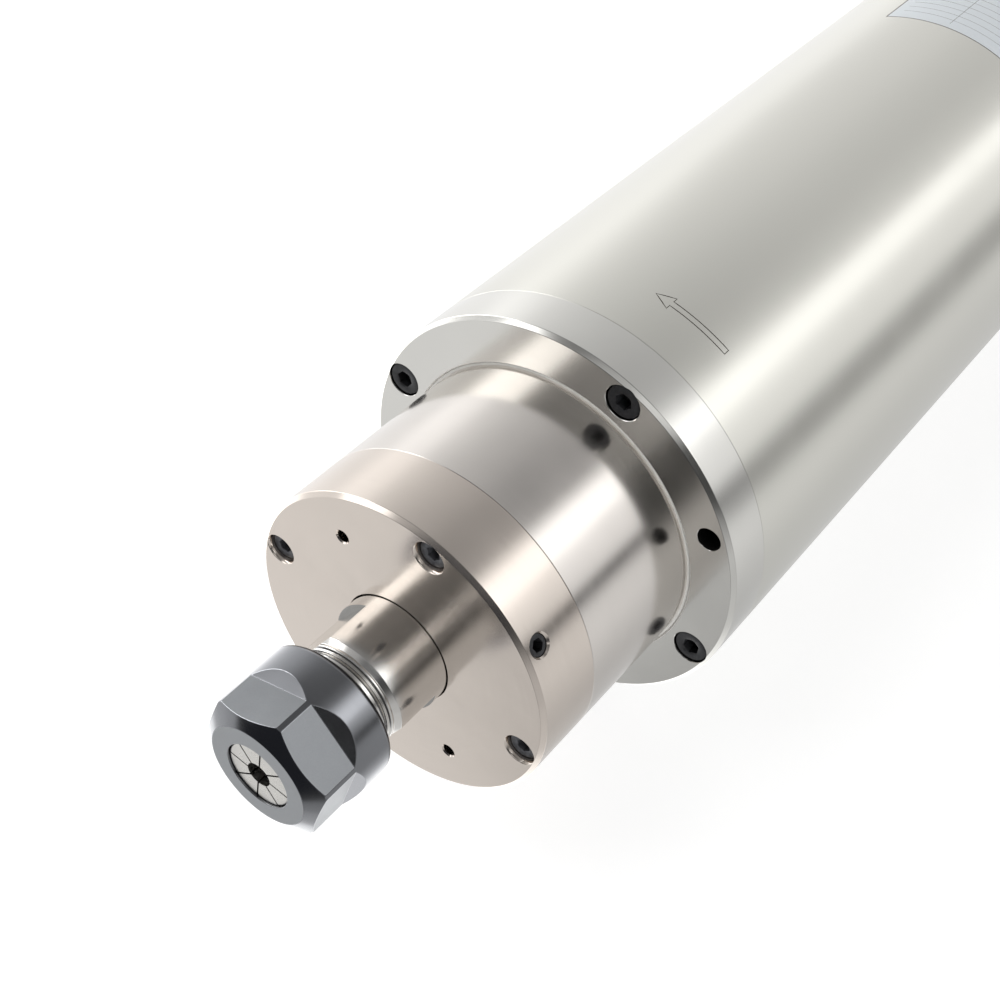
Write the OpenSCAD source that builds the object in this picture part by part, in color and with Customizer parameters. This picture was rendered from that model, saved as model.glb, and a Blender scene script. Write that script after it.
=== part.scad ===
// Water-cooled motor spindle with a slit collet nose.
// The spindle axis lies along Y, the nose points to -Y and +Z is up.
// The origin is on the axis, in the plane of the front face of the mounting flange.
// Sizes are in millimetres, angles are in degrees from +X towards +Z.

/* [Body] */
// Outer diameter of the body, the frame size
body_d = 105; // [103:0.5:112]
// Wall of the body tube round the stator
body_wall = 10.5; // [10:0.25:11.5]
// Length of the body tube behind the flange
body_len = 247; // [240:1:300]
// Chamfer on the rim of each end part
rim_chamfer = 1; // [0.4:0.1:2]
// Small edge break where two parts of one diameter meet
seam_break = 0.15; // [0.05:0.05:0.4]

/* [Mounting flange] */
// Width of the flange face round the bearing housing
flange_step = 12.5; // [11.5:0.25:13.5]
// Thickness of the flange
flange_t = 13; // [12:0.5:18]
// Chamfer round the front of the flange bore
flange_bore_chamfer = 0.6; // [0.3:0.1:1.2]
// Angle of the first flange screw
flange_screw_angle = 65.3; // [60:0.1:70]
// Number of flange screws, and of rear screws
end_screw_count = 4; // [4:1:4]
// Diameter of the flange screws and rear screws
end_screw_d = 5; // [4:0.5:5]
// Reach of a flange screw past the flange
flange_screw_grip = 14; // [10:1:20]
// Diameter of the two tapped holes in the flange face
flange_tap_d = 6; // [4:0.5:8]
// Depth of the two tapped holes
flange_tap_depth = 10; // [6:0.5:11]

/* [Bearing housing] */
// Length of the housing in front of the flange
housing_len = 37; // [35:0.5:45]
// Step of the collar that the flange traps
collar_step = 3; // [2:0.25:3]
// Thickness of the collar
collar_t = 4; // [3:0.5:6]
// Length of the spigot inside the body tube
spigot_len = 9; // [7:0.5:15]
// Wall of the spigot
spigot_wall = 10; // [6:0.5:12]

/* [Front cover] */
// Thickness of the front cover
cover_t = 18; // [16:0.5:24]
// Thickness of the cover wall in front of its recess
cover_wall = 7; // [6.5:0.5:8]
// Radial gap between the cover and the shaft nose
cover_gap = 0.75; // [0.4:0.05:1.2]
// Distance of the cover screws from the rim
cover_screw_inset = 5; // [4.5:0.25:6]
// Angle of the first cover screw
cover_screw_angle = 73; // [70:0.5:80]
// Number of cover screws
cover_screw_count = 4; // [3:1:6]
// Diameter of the cover screws
cover_screw_d = 4; // [3:0.5:4]
// Depth of a screw head below the cover face
cover_head_recess = 1.5; // [0.5:0.1:2]
// Reach of a cover screw into the housing
cover_screw_grip = 12; // [8:0.5:16]
// Pitch circle of the two jacking holes
jack_pcd = 58; // [57.5:0.25:59]
// Diameter of the jacking holes
jack_d = 3.5; // [2.5:0.25:3.5]
// Angle of the first jacking hole
jack_angle = 118; // [110:1:125]
// Distance of the side grub screw from the cover face
grub_inset = 4.8; // [3.5:0.1:5]
// Angle of the side grub screw
grub_angle = 29.4; // [20:0.1:40]
// Diameter of the side grub screw
grub_d = 5; // [3:0.5:5]
// Length of the side grub screw
grub_len = 6; // [4:0.5:8]

/* [Shaft nose] */
// Diameter of the shaft nose
nose_d = 28; // [27:0.25:29]
// Length of the nose in front of the cover
nose_len = 15; // [12:0.5:25]
// Distance across the wrench flats
flats_w = 25; // [24.5:0.25:26]
// Length of the wrench flats
flats_len = 10.8; // [6:0.2:11]
// Angle of the first wrench flat
flats_angle = 139; // [130:1:150]
// Diameter of the nut thread
thread_d = 25; // [24.5:0.25:25.5]
// Pitch of the nut thread
thread_pitch = 1.5; // [1:0.25:2]
// Length of the tapered shoulder behind the thread
neck_taper = 1.6; // [1:0.1:3]

/* [Collet] */
// Largest diameter of the collet
collet_d = 21; // [20.5:0.1:21.2]
// Length of the collet
collet_len = 31.5; // [28:0.5:33]
// Half angle of the collet taper
collet_taper = 8; // [7:0.5:9]
// Bore of the collet
collet_bore_d = 6; // [5:0.5:7]
// Number of slits cut from each end
slit_count = 8; // [4:1:8]
// Width of a slit
slit_w = 0.4; // [0.3:0.1:0.6]
// Length of metal left at the end of a slit
slit_web = 5.5; // [4:0.5:8]
// Angle of the first front slit
slit_angle = 34; // [20:1:40]
// Diameter of the collet front face
collet_face_d = 15.9; // [15:0.1:16]
// Diameter of the extraction groove
collet_groove_d = 16.6; // [16:0.1:17]
// Half angle of the collet nose cone
nose_cone = 30; // [28:1:31]

/* [Collet nut] */
// Outer diameter of the nut
nut_d = 34; // [33.8:0.1:36]
// Distance across the hexagon
nut_flats = 30; // [29:0.25:30.5]
// Length of the nut
nut_len = 22.5; // [22:0.25:26]
// Length of the round skirt of the nut
nut_skirt = 10.8; // [8:0.2:12]
// Gap between the shaft shoulder and the nut
nut_gap = 6.5; // [5:0.25:8]
// Diameter of the flat front face of the nut
nut_face_d = 25.3; // [24:0.1:27]
// Slope of the cone between the nut face and the flats
nut_cone = 32; // [28:1:40]
// Angle of the first corner of the hexagon
nut_angle = 11; // [0:1:59]
// Diameter of the nut opening
nut_opening_d = 16.4; // [16.3:0.05:16.8]

/* [Bearings] */
// Bore of the front bearings
front_bore = 30; // [29.5:0.25:30.5]
// Outer diameter of the front bearings
front_od = 55; // [54.5:0.25:55.5]
// Width of the front bearings
front_w = 13; // [12:0.5:14]
// Ball diameter of the front bearings
front_ball = 7; // [6:0.25:7.25]
// Number of balls in a front bearing
front_balls = 14; // [10:1:14]
// Width of the spacers between the front bearings
spacer_w = 8; // [6:0.5:9]
// Bore of the rear bearing
rear_bore = 25; // [24.5:0.25:25.5]
// Outer diameter of the rear bearing
rear_od = 47; // [46.5:0.25:47.5]
// Width of the rear bearing
rear_w = 12; // [11:0.5:13]
// Ball diameter of the rear bearing
rear_ball = 6; // [5:0.25:6.25]
// Number of balls in the rear bearing
rear_balls = 13; // [9:1:13]

/* [Motor] */
// Room from the lamination stacks to the rear end of the body tube
stack_end_room = 78; // [74:1:110]
// Distance from the flange face to the lamination stacks
stack_start = 62; // [58:1:68]
// Bore of the stator
stator_bore_d = 48; // [47:0.25:49]
// Number of stator slots
slot_count = 24; // [12:6:24]
// Depth of a stator slot
slot_depth = 10; // [8:0.5:12]
// Reach of the end windings past the stack
winding_reach = 22; // [16:1:24]
// Air gap between rotor and stator
air_gap = 0.4; // [0.3:0.05:0.8]
// Number of rotor bars
bar_count = 22; // [14:2:22]
// Diameter of a rotor bar
bar_d = 3; // [2:0.25:3.5]
// Length of a rotor end ring
end_ring_len = 10; // [6:1:14]
// Diameter of a cooling channel in the body wall
channel_d = 5; // [4:0.25:5.5]

/* [Rear end] */
// Thickness of the flange of the rear bearing housing
bell_t = 8; // [7:0.5:12]
// Length of the rear spigot inside the body tube
bell_spigot = 14; // [10:1:18]
// Thickness of the rear cover
rear_cover_t = 22; // [20:0.5:30]
// Thickness of the end wall of the rear cover
rear_wall = 6; // [5.5:0.5:7]
// Step from the body bore in to the wiring space of the rear cover
wiring_step = 2; // [1.5:0.25:4]
// Distance of the power connector's middle from the rim of the body
connector_inset = 26.5; // [25.5:0.5:28.5]
// Outer diameter of the connector shell
connector_d = 18; // [17:0.5:18.5]
// Bore of the connector shell
socket_d = 15.2; // [14.5:0.1:15.5]
// Depth of the connector socket
socket_depth = 8; // [6:0.5:8.5]
// Height of the connector above its base
connector_h = 11; // [10:0.5:14]
// Width of the square connector base
connector_base = 23.5; // [23:0.5:25]
// Diameter of the pitch circle of the connector pins
pin_pcd = 9; // [8.5:0.25:9.5]
// Diameter of a connector pin
pin_d = 2; // [1.5:0.1:2]
// Length of the hose tail on a water fitting
tail_len = 15; // [12:0.5:18]
// Bore of a water fitting
fitting_bore_d = 3.6; // [3:0.1:3.8]

/* [Hidden] */

// Clearances and small allowances
seat = 0.02;          // radial clearance of a fixed seat
running = 0.05;       // radial clearance of a thread or taper that moves
ball_play = 0.1;      // clearance between a ball and its raceway
land = 0.35;          // clearance between a cage and the bearing rings
hole_play = 0.25;     // radial clearance of a screw in a passing hole
cut = 1;              // overshoot of a cutting solid
round_fn = 72;

// Stations along the axis, from the nose to the rear
seam_y = flange_t;
cover_seam_y = -housing_len;
cover_face_y = cover_seam_y - cover_t;
shoulder_y = cover_face_y - nose_len;
nut_rear_y = shoulder_y - nut_gap;
nut_face_y = nut_rear_y - nut_len;
nut_step_y = nut_rear_y - nut_skirt;
nut_lip = 0.6;
collet_recess = 0.5;
collet_face_y = nut_face_y + collet_recess;
collet_front = 6.3;
collet_wide_y = collet_face_y + collet_front;
collet_end_y = collet_face_y + collet_len;
shaft_end_y = collet_wide_y + 0.8;
tube_end_y = seam_y + body_len;
bell_end_y = tube_end_y + bell_t;
rear_face_y = bell_end_y + rear_cover_t;
base_t = 3;

// Radii that several parts share
body_r = body_d / 2;
bore_r = body_r - body_wall;
wall_r = (body_r + bore_r) / 2;
housing_r = body_r - flange_step;
register_step = 0.6;
register_r = housing_r + register_step;
collar_r = housing_r + collar_step;
cover_screw_r = housing_r - cover_screw_inset;
nose_r = nose_d / 2;

// Angles round the axis
end_step = 360 / end_screw_count;
rear_screw_angle = flange_screw_angle + end_step / 2;
channel_count = 2 * end_screw_count;
channel_step = 360 / channel_count;
channel_angle = flange_screw_angle + channel_step / 2;
inlet_angle = flange_screw_angle + 180 - channel_step / 2;
outlet_angle = flange_screw_angle + 180 + channel_step / 2;
tap_angle = flange_screw_angle - end_step / 2;
connector_angle = flange_screw_angle;
connector_r = body_r - connector_inset;

// Front bearing stack
spigot_nose = 4;
front_1_y = cover_seam_y + spigot_nose;
front_spacer_y = front_1_y + front_w;
front_2_y = front_spacer_y + spacer_w;
front_stop_y = front_2_y + front_w;
front_stop_t = 3;
locknut_w = 8;
locknut_reach = 7;
rear_locknut_reach = 5.5;
locknut_room = 2;
front_stop_r = front_bore / 2 + locknut_reach + locknut_room;
shaft_shoulder_len = 10.5;
slinger_t = 3.5;
recess_step = 6.5;
recess_r = front_bore / 2 + recess_step;
cover_recess_y = cover_face_y + cover_wall;

// Rear bearing stack, measured back from the end of the body tube
spring_h = 4;
bell_hub_wall = 5.5;
bell_rim_wall = 6;
bell_hub_r = rear_od / 2 + bell_hub_wall;
bell_rim_r = bore_r - bell_rim_wall;
lead_d = 2.2;
lead_slot_w = lead_d + 2.8;
lead_r = bell_hub_r + 1 + lead_slot_w / 2;
lead_pitch = 3;
rear_stop_inset = 22;
rear_stop_y = tube_end_y - rear_stop_inset;
rear_brg_y = rear_stop_y - spring_h - rear_w;
rear_hub_y = rear_brg_y - 2;
bell_web_t = 4;
bell_bore_r = rear_bore / 2 + rear_locknut_reach + locknut_room;
shaft_tail = 12;
shaft_rear_y = rear_brg_y + rear_w + shaft_tail;

// Rotor fit
rotor_seat_r = front_bore / 2 - 0.5;
rotor_r = stator_bore_d / 2 - air_gap;
stack_end_y = tube_end_y - stack_end_room;
stack_len = stack_end_y - stack_start;
bar_r = rotor_r - bar_d / 2 - 0.8;

// Solid of revolution round the spindle axis from points [radius, y]
module turned(points) {
    rotate([-90, 0, 0])
        rotate_extrude($fn = round_fn)
            polygon(points);
}

// Places a child at a radius and angle, with its +Z along the spindle's +Y
module at(r, angle, y = 0) {
    rotate([0, -angle, 0])
        translate([r, y, 0])
            rotate([-90, 0, 0])
                children();
}

// Places a child at equal steps round the axis
module around(count, r, angle, y = 0) {
    for (i = [0 : count - 1])
        at(r, angle + i * 360 / count, y) children();
}

// Plain round hole or rod along the spindle axis
module rod(d, h, $fn = 32) {
    cylinder(d = d, h = h);
}

// Straight rod between two points
module rod_between(p, q, d) {
    v = q - p;
    translate(p)
        rotate([0, acos(v[2] / norm(v)), atan2(v[1], v[0])])
            cylinder(d = d, h = norm(v), $fn = 24);
}

// Socket head screw with its head face at z = 0 and its shank along +Z
function head_d(d) = 1.45 * d + 1.25;
module socket_screw(d, length) {
    socket_w = 0.85 * d;
    difference() {
        union() {
            translate([0, 0, 0.1 * d])
                cylinder(d = head_d(d), h = 0.9 * d, $fn = 48);
            cylinder(d1 = head_d(d) - 0.2 * d, d2 = head_d(d), h = 0.1 * d, $fn = 48);
            translate([0, 0, d - seat])
                cylinder(d = d - 2 * seat, h = length + seat, $fn = 32);
        }
        translate([0, 0, -cut])
            cylinder(d = socket_w / cos(30), h = 0.55 * d + cut, $fn = 6);
    }
}

// Round cord ring, lying in a plane across the axis
module cord_ring(r, cord, y) {
    rotate([-90, 0, 0])
        translate([0, 0, y])
            rotate_extrude($fn = round_fn)
                translate([r, 0])
                    circle(d = cord, $fn = 24);
}

// Points of an arc, used for rounded edges of turned profiles
function arc(c, r, from, to, n = 5) =
    [for (i = [0 : n]) let (a = from + (to - from) * i / n) [c[0] + r * cos(a), c[1] + r * sin(a)]];

// Face seal groove and its cord, between the cooling channels and the rim
seal_cord = 1.1;
seal_r = (body_r + wall_r + channel_d / 2) / 2;
seal_groove = 1.3;
module seal_cutter(y, depth) {
    turned([[seal_r - seal_groove / 2, y], [seal_r + seal_groove / 2, y],
        [seal_r + seal_groove / 2, y + depth], [seal_r - seal_groove / 2, y + depth]]);
}

// Groove for a cord ring round a spigot of the body bore
spigot_groove_w = 1.8;
spigot_cord = 1.3;
module spigot_cutter(y) {
    turned([[bore_r - spigot_groove_w + 0.3, y], [bore_r + cut, y],
        [bore_r + cut, y + spigot_groove_w], [bore_r - spigot_groove_w + 0.3, y + spigot_groove_w]]);
}

// Front cover: screws into the housing, clamps the front bearing and guards the nose
head_recess_depth = cover_head_recess + cover_screw_d;
grub_y = cover_face_y + grub_inset;
gallery_d = 2.4;
ring_groove_w = gallery_d + 0.6;
ring_groove_depth = 1.3;
module front_cover() {
    inner = nose_r + cover_gap;
    spigot_r = front_od / 2 - seat;
    spigot_in = spigot_r - 3.3;
    color([0.82, 0.79, 0.76])
        difference() {
            turned([[inner, cover_face_y], [housing_r - rim_chamfer, cover_face_y],
                [housing_r, cover_face_y + rim_chamfer], [housing_r, cover_seam_y - seam_break],
                [housing_r - seam_break, cover_seam_y], [spigot_r, cover_seam_y],
                [spigot_r, front_1_y], [spigot_in, front_1_y], [spigot_in, cover_seam_y],
                [recess_r, cover_seam_y], [recess_r, cover_recess_y], [inner, cover_recess_y]]);
            around(cover_screw_count, cover_screw_r, cover_screw_angle, cover_face_y - cut) {
                rod(cover_screw_d + 2 * hole_play, cover_t + 2 * cut);
                rod(head_d(cover_screw_d) + 1, head_recess_depth + cut, $fn = 48);
            }
            around(2, jack_pcd / 2, jack_angle, cover_face_y - cut) {
                rod(jack_d, cover_t + cut);
                cylinder(d1 = jack_d + 3, d2 = jack_d, h = cut + 0.5, $fn = 32);
            }
            rotate([0, -grub_angle, 0])
                translate([0, grub_y, 0])
                    rotate([0, 90, 0]) {
                        rod(gallery_d, housing_r);
                        translate([0, 0, housing_r - grub_len - 0.6])
                            rod(grub_d + 2 * seat, grub_len + cut + 1);
                    }
            turned([[inner - cut, grub_y - ring_groove_w / 2],
                [inner + ring_groove_depth, grub_y - ring_groove_w / 2],
                [inner + ring_groove_depth, grub_y + ring_groove_w / 2],
                [inner - cut, grub_y + ring_groove_w / 2]]);
        }
}

module front_cover_screws() {
    color([0.12, 0.12, 0.13])
        around(cover_screw_count, cover_screw_r, cover_screw_angle, cover_face_y + cover_head_recess)
            socket_screw(cover_screw_d, cover_t - head_recess_depth + cover_screw_grip);
}

// Hexagon socket grub screw that closes the drilled gallery in the cover
module side_grub_screw() {
    color([0.13, 0.13, 0.14])
        rotate([0, -grub_angle, 0])
            translate([0, grub_y, 0])
                rotate([0, 90, 0])
                    translate([0, 0, housing_r - grub_len - 0.3])
                        difference() {
                            rod(grub_d, grub_len);
                            translate([0, 0, grub_len - 2.5])
                                cylinder(d = 0.5 * grub_d / cos(30), h = 2.5 + cut, $fn = 6);
                        }
}

// Bearing housing: seats the front pair, and its collar is trapped behind the flange
module bearing_housing() {
    bearing_r = front_od / 2;
    collar_y = seam_y - collar_t;
    spigot_end = seam_y + spigot_len;
    spigot_in = bore_r - spigot_wall;
    stop_end = front_stop_y + front_stop_t;
    color([0.83, 0.81, 0.78])
        difference() {
            turned([[bearing_r, cover_seam_y], [housing_r - seam_break, cover_seam_y],
                [housing_r, cover_seam_y + seam_break], [housing_r, flange_bore_chamfer],
                [register_r, flange_bore_chamfer],
                [register_r, collar_y], [collar_r - seat, collar_y], [collar_r - seat, seam_y],
                [bore_r - seat, seam_y], [bore_r - seat, spigot_end - 0.5],
                [bore_r - 0.5, spigot_end], [spigot_in, spigot_end], [spigot_in, stop_end],
                [front_stop_r, stop_end], [front_stop_r, front_stop_y],
                [bearing_r, front_stop_y]]);
            around(cover_screw_count, cover_screw_r, cover_screw_angle, cover_seam_y - cut)
                rod(cover_screw_d, cover_screw_grip + 2 + cut);
            spigot_cutter(seam_y + 3);
        }
}

// Mounting flange: clamps the housing collar to the body tube
end_head_recess = 0.4;
end_bore_depth = end_screw_d + end_head_recess;
module end_screw_holes(count, angle, y, through) {
    around(count, wall_r, angle, y) {
        translate([0, 0, -cut])
            rod(end_screw_d + 2 * hole_play, through + 2 * cut);
        translate([0, 0, -cut])
            rod(head_d(end_screw_d) + 0.5, end_bore_depth + cut, $fn = 48);
    }
}

module mounting_flange() {
    collar_y = seam_y - collar_t;
    flange_bore_r = register_r + seat;
    color([0.80, 0.80, 0.77])
        difference() {
            turned([[flange_bore_r + flange_bore_chamfer, 0], [body_r - rim_chamfer, 0],
                [body_r, rim_chamfer], [body_r, seam_y - seam_break],
                [body_r - seam_break, seam_y], [collar_r, seam_y], [collar_r, collar_y],
                [flange_bore_r, collar_y], [flange_bore_r, flange_bore_chamfer]]);
            end_screw_holes(end_screw_count, flange_screw_angle, 0, flange_t);
            around(2, wall_r, tap_angle, -cut)
                rod(flange_tap_d, flange_tap_depth + cut);
            seal_cutter(seam_y - 1, 1 + cut);
        }
}

module flange_screws() {
    color([0.12, 0.12, 0.13])
        around(end_screw_count, wall_r, flange_screw_angle, end_head_recess)
            socket_screw(end_screw_d, flange_t - end_bore_depth + flange_screw_grip);
}

module front_o_rings() {
    color([0.08, 0.08, 0.08]) {
        cord_ring(seal_r, seal_cord - 0.2, seam_y - 0.5);
        cord_ring(bore_r - spigot_groove_w / 2 + 0.1, spigot_cord, seam_y + 3 + spigot_groove_w / 2);
    }
}

// Body tube: thick wall with lengthwise cooling channels joined in pairs at the ends
tap_depth = flange_screw_grip + 3;
rear_screw_grip = 14;
pocket_depth = 4;
pocket_w = channel_d - 0.6;
module pocket(mid_angle, y) {
    rotate([0, -(mid_angle + channel_step / 2), 0])
        translate([0, y, 0])
            rotate([-90, 0, 0])
                rotate_extrude(angle = channel_step, $fn = round_fn)
                    translate([wall_r - pocket_w / 2, 0])
                        square([pocket_w, pocket_depth + cut]);
}

module body_tube() {
    color([0.82, 0.82, 0.79])
        difference() {
            turned([[bore_r, seam_y], [body_r - seam_break, seam_y],
                [body_r, seam_y + seam_break], [body_r, tube_end_y - seam_break],
                [body_r - seam_break, tube_end_y], [bore_r, tube_end_y]]);
            around(channel_count, wall_r, channel_angle, seam_y - cut)
                rod(channel_d, body_len + 2 * cut);
            around(end_screw_count, wall_r, flange_screw_angle, seam_y - cut)
                rod(end_screw_d, tap_depth + cut);
            around(end_screw_count, wall_r, rear_screw_angle, tube_end_y - rear_screw_grip - 3)
                rod(end_screw_d, rear_screw_grip + 3 + cut);
            for (i = [0 : end_screw_count - 1])
                pocket(rear_screw_angle + i * end_step, seam_y - cut);
            for (i = [0 : end_screw_count - 1])
                if (i != end_screw_count / 2)
                    pocket(flange_screw_angle + i * end_step, tube_end_y - pocket_depth);
        }
}

// Stator: slotted lamination stack shrunk into the body bore
slot_mouth = 1.2;
slot_neck = 1;
function slot_half(r) = 0.24 * PI * 2 * r / slot_count;
module slot_shape(inset) {
    r0 = stator_bore_d / 2 + slot_neck + inset;
    r1 = stator_bore_d / 2 + slot_neck + slot_depth - inset;
    polygon([[r0, -slot_half(r0) + inset], [r1, -slot_half(r1) + inset],
        [r1, slot_half(r1) - inset], [r0, slot_half(r0) - inset]]);
}

module stator_core() {
    color([0.45, 0.46, 0.48])
        rotate([-90, 0, 0])
            translate([0, 0, stack_start])
                linear_extrude(stack_len)
                    difference() {
                        circle(r = bore_r - seat, $fn = round_fn);
                        circle(d = stator_bore_d, $fn = round_fn);
                        for (i = [0 : slot_count - 1])
                            rotate(i * 360 / slot_count) {
                                slot_shape(0);
                                translate([stator_bore_d / 2 - cut, -slot_mouth / 2])
                                    square([slot_neck + 2 * cut, slot_mouth]);
                            }
                    }
}

// Stator windings: one filled bar in each slot and a rounded end turn at each end
module end_turn(y) {
    inner = stator_bore_d / 2 + 2.6;
    outer = stator_bore_d / 2 + slot_depth + 1.4;
    edge = 3;
    turned(concat(
        arc([inner + edge, y + edge], edge, 180, 270),
        arc([outer - edge, y + edge], edge, 270, 360),
        arc([outer - edge, y + winding_reach - edge], edge, 0, 90),
        arc([inner + edge, y + winding_reach - edge], edge, 90, 180)));
}

module stator_windings() {
    slot_gap = 0.25;
    color([0.72, 0.38, 0.16])
        union() {
            end_turn(stack_start - winding_reach);
            end_turn(stack_end_y);
            rotate([-90, 0, 0])
                translate([0, 0, stack_start - cut])
                    linear_extrude(stack_len + 2 * cut)
                        for (i = [0 : slot_count - 1])
                            rotate(i * 360 / slot_count)
                                slot_shape(slot_gap);
        }
}

// Angular contact bearing parts, from the bore, outer diameter, width and ball size
function pitch_r(bore, od) = (bore + od) / 4;
module outer_ring(bore, od, w, ball, y) {
    pr = pitch_r(bore, od);
    difference() {
        turned([[pr + 0.33 * ball, y], [od / 2 - seat, y], [od / 2 - seat, y + w],
            [pr + 0.33 * ball, y + w]]);
        cord_ring(pr, ball + 2 * ball_play, y + w / 2);
    }
}

module inner_ring(bore, od, w, ball, y) {
    pr = pitch_r(bore, od);
    difference() {
        turned([[bore / 2 + seat, y], [pr - 0.33 * ball, y], [pr - 0.33 * ball, y + w],
            [bore / 2 + seat, y + w]]);
        cord_ring(pr, ball + 2 * ball_play, y + w / 2);
    }
}

module ball_row(bore, od, w, ball, count, y) {
    around(count, pitch_r(bore, od), 0, y + w / 2)
        sphere(d = ball, $fn = 32);
}

module cage_ring(bore, od, w, ball, count, y) {
    pr = pitch_r(bore, od);
    inner = pr - 0.33 * ball + land;
    outer = pr + 0.33 * ball - land;
    margin = 1;
    difference() {
        turned([[inner, y + margin], [outer, y + margin], [outer, y + w - margin],
            [inner, y + w - margin]]);
        for (i = [0 : count - 1])
            rotate([0, -i * 360 / count, 0])
                translate([inner - cut, y + w / 2, 0])
                    rotate([0, 90, 0])
                        rod(ball + 2 * ball_play, outer - inner + 2 * cut);
    }
}

module front_bearing_outer_rings() {
    color([0.75, 0.76, 0.78]) {
        outer_ring(front_bore, front_od, front_w, front_ball, front_1_y);
        outer_ring(front_bore, front_od, front_w, front_ball, front_2_y);
    }
}

module front_bearing_inner_rings() {
    color([0.75, 0.76, 0.78]) {
        inner_ring(front_bore, front_od, front_w, front_ball, front_1_y);
        inner_ring(front_bore, front_od, front_w, front_ball, front_2_y);
    }
}

module front_bearing_balls() {
    color([0.9, 0.9, 0.92]) {
        ball_row(front_bore, front_od, front_w, front_ball, front_balls, front_1_y);
        ball_row(front_bore, front_od, front_w, front_ball, front_balls, front_2_y);
    }
}

module front_bearing_cages() {
    color([0.55, 0.36, 0.2]) {
        cage_ring(front_bore, front_od, front_w, front_ball, front_balls, front_1_y);
        cage_ring(front_bore, front_od, front_w, front_ball, front_balls, front_2_y);
    }
}

module rear_bearing_outer_ring() {
    color([0.75, 0.76, 0.78])
        outer_ring(rear_bore, rear_od, rear_w, rear_ball, rear_brg_y);
}

module rear_bearing_inner_ring() {
    color([0.75, 0.76, 0.78])
        inner_ring(rear_bore, rear_od, rear_w, rear_ball, rear_brg_y);
}

module rear_bearing_balls() {
    color([0.9, 0.9, 0.92])
        ball_row(rear_bore, rear_od, rear_w, rear_ball, rear_balls, rear_brg_y);
}

module rear_bearing_cage() {
    color([0.55, 0.36, 0.2])
        cage_ring(rear_bore, rear_od, rear_w, rear_ball, rear_balls, rear_brg_y);
}

// Spacers hold the two front bearings apart
module front_outer_spacer() {
    inner = pitch_r(front_bore, front_od) + 0.33 * front_ball;
    color([0.6, 0.61, 0.63])
        turned([[inner, front_spacer_y], [front_od / 2 - seat, front_spacer_y],
            [front_od / 2 - seat, front_2_y], [inner, front_2_y]]);
}

module front_inner_spacer() {
    outer = pitch_r(front_bore, front_od) - 0.33 * front_ball;
    color([0.6, 0.61, 0.63])
        turned([[front_bore / 2 + seat, front_spacer_y], [outer, front_spacer_y],
            [outer, front_2_y], [front_bore / 2 + seat, front_2_y]]);
}

// Slotted locknut round a bearing seat
module slotted_nut(bore, reach, y, w) {
    outer = bore / 2 + reach;
    slot = 5;
    color([0.35, 0.36, 0.38])
        difference() {
            turned([[bore / 2 + seat, y], [outer, y], [outer, y + w - 1],
                [outer - 1, y + w], [bore / 2 + seat, y + w]]);
            around(4, outer, 0, y - cut)
                translate([-2, -slot / 2, 0])
                    cube([2 + cut, slot, w + 2 * cut]);
        }
}

module front_locknut() {
    slotted_nut(front_bore, locknut_reach, front_stop_y, locknut_w);
}

module rear_locknut() {
    slotted_nut(rear_bore, rear_locknut_reach, rear_brg_y + rear_w, locknut_w);
}

// Disc spring pair that preloads the rear bearing
module preload_spring() {
    outer = rear_od / 2 - 0.3;
    inner = bell_bore_r + 0.4;
    leaf = 0.8;
    y0 = rear_brg_y + rear_w;
    mid = y0 + spring_h / 2;
    color([0.4, 0.42, 0.45])
        turned([[outer, y0], [outer, y0 + leaf], [inner + 0.6, mid], [outer, y0 + spring_h - leaf],
            [outer, y0 + spring_h], [outer - 0.5, y0 + spring_h], [inner, mid + leaf / 2],
            [inner, mid - leaf / 2], [outer - 0.5, y0]]);
}

// Rear bearing housing: closes the body tube and carries the rear bearing
module rear_bearing_housing() {
    web_y = tube_end_y - bell_web_t;
    spigot_y = tube_end_y - bell_spigot;
    color([0.78, 0.78, 0.76])
        difference() {
            turned([[rear_od / 2, rear_hub_y], [bell_hub_r, rear_hub_y], [bell_hub_r, web_y],
                [bell_rim_r, web_y], [bell_rim_r, spigot_y], [bore_r - 0.5, spigot_y],
                [bore_r - seat, spigot_y + 0.5], [bore_r - seat, tube_end_y],
                [body_r - seam_break, tube_end_y], [body_r, tube_end_y + seam_break],
                [body_r, bell_end_y - seam_break], [body_r - seam_break, bell_end_y],
                [bell_bore_r, bell_end_y], [bell_bore_r, rear_stop_y],
                [rear_od / 2, rear_stop_y]]);
            around(end_screw_count, wall_r, rear_screw_angle, tube_end_y - cut)
                rod(end_screw_d + 2 * hole_play, bell_t + 2 * cut);
            for (a = [inlet_angle, outlet_angle])
                at(wall_r, a, tube_end_y - cut)
                    rod(channel_d, bell_t + 2 * cut);
            at(lead_r, connector_angle, spigot_y - cut)
                hull()
                    for (side = [-1, 1])
                        translate([0, side * lead_pitch, 0])
                            rod(lead_slot_w, bell_t + bell_spigot + 2 * cut);
            seal_cutter(tube_end_y - cut, 1 + cut);
            spigot_cutter(spigot_y + 4);
        }
}

module rear_o_rings() {
    color([0.08, 0.08, 0.08]) {
        cord_ring(seal_r, seal_cord - 0.2, tube_end_y + 0.5);
        cord_ring(bore_r - spigot_groove_w / 2 + 0.1, spigot_cord,
            tube_end_y - bell_spigot + 4 + spigot_groove_w / 2);
        for (a = [inlet_angle, outlet_angle])
            at(wall_r, a, bell_end_y + 0.5)
                rotate_extrude($fn = 32)
                    translate([channel_d / 2 + 0.8, 0])
                        circle(d = 0.9, $fn = 20);
    }
}

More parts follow.
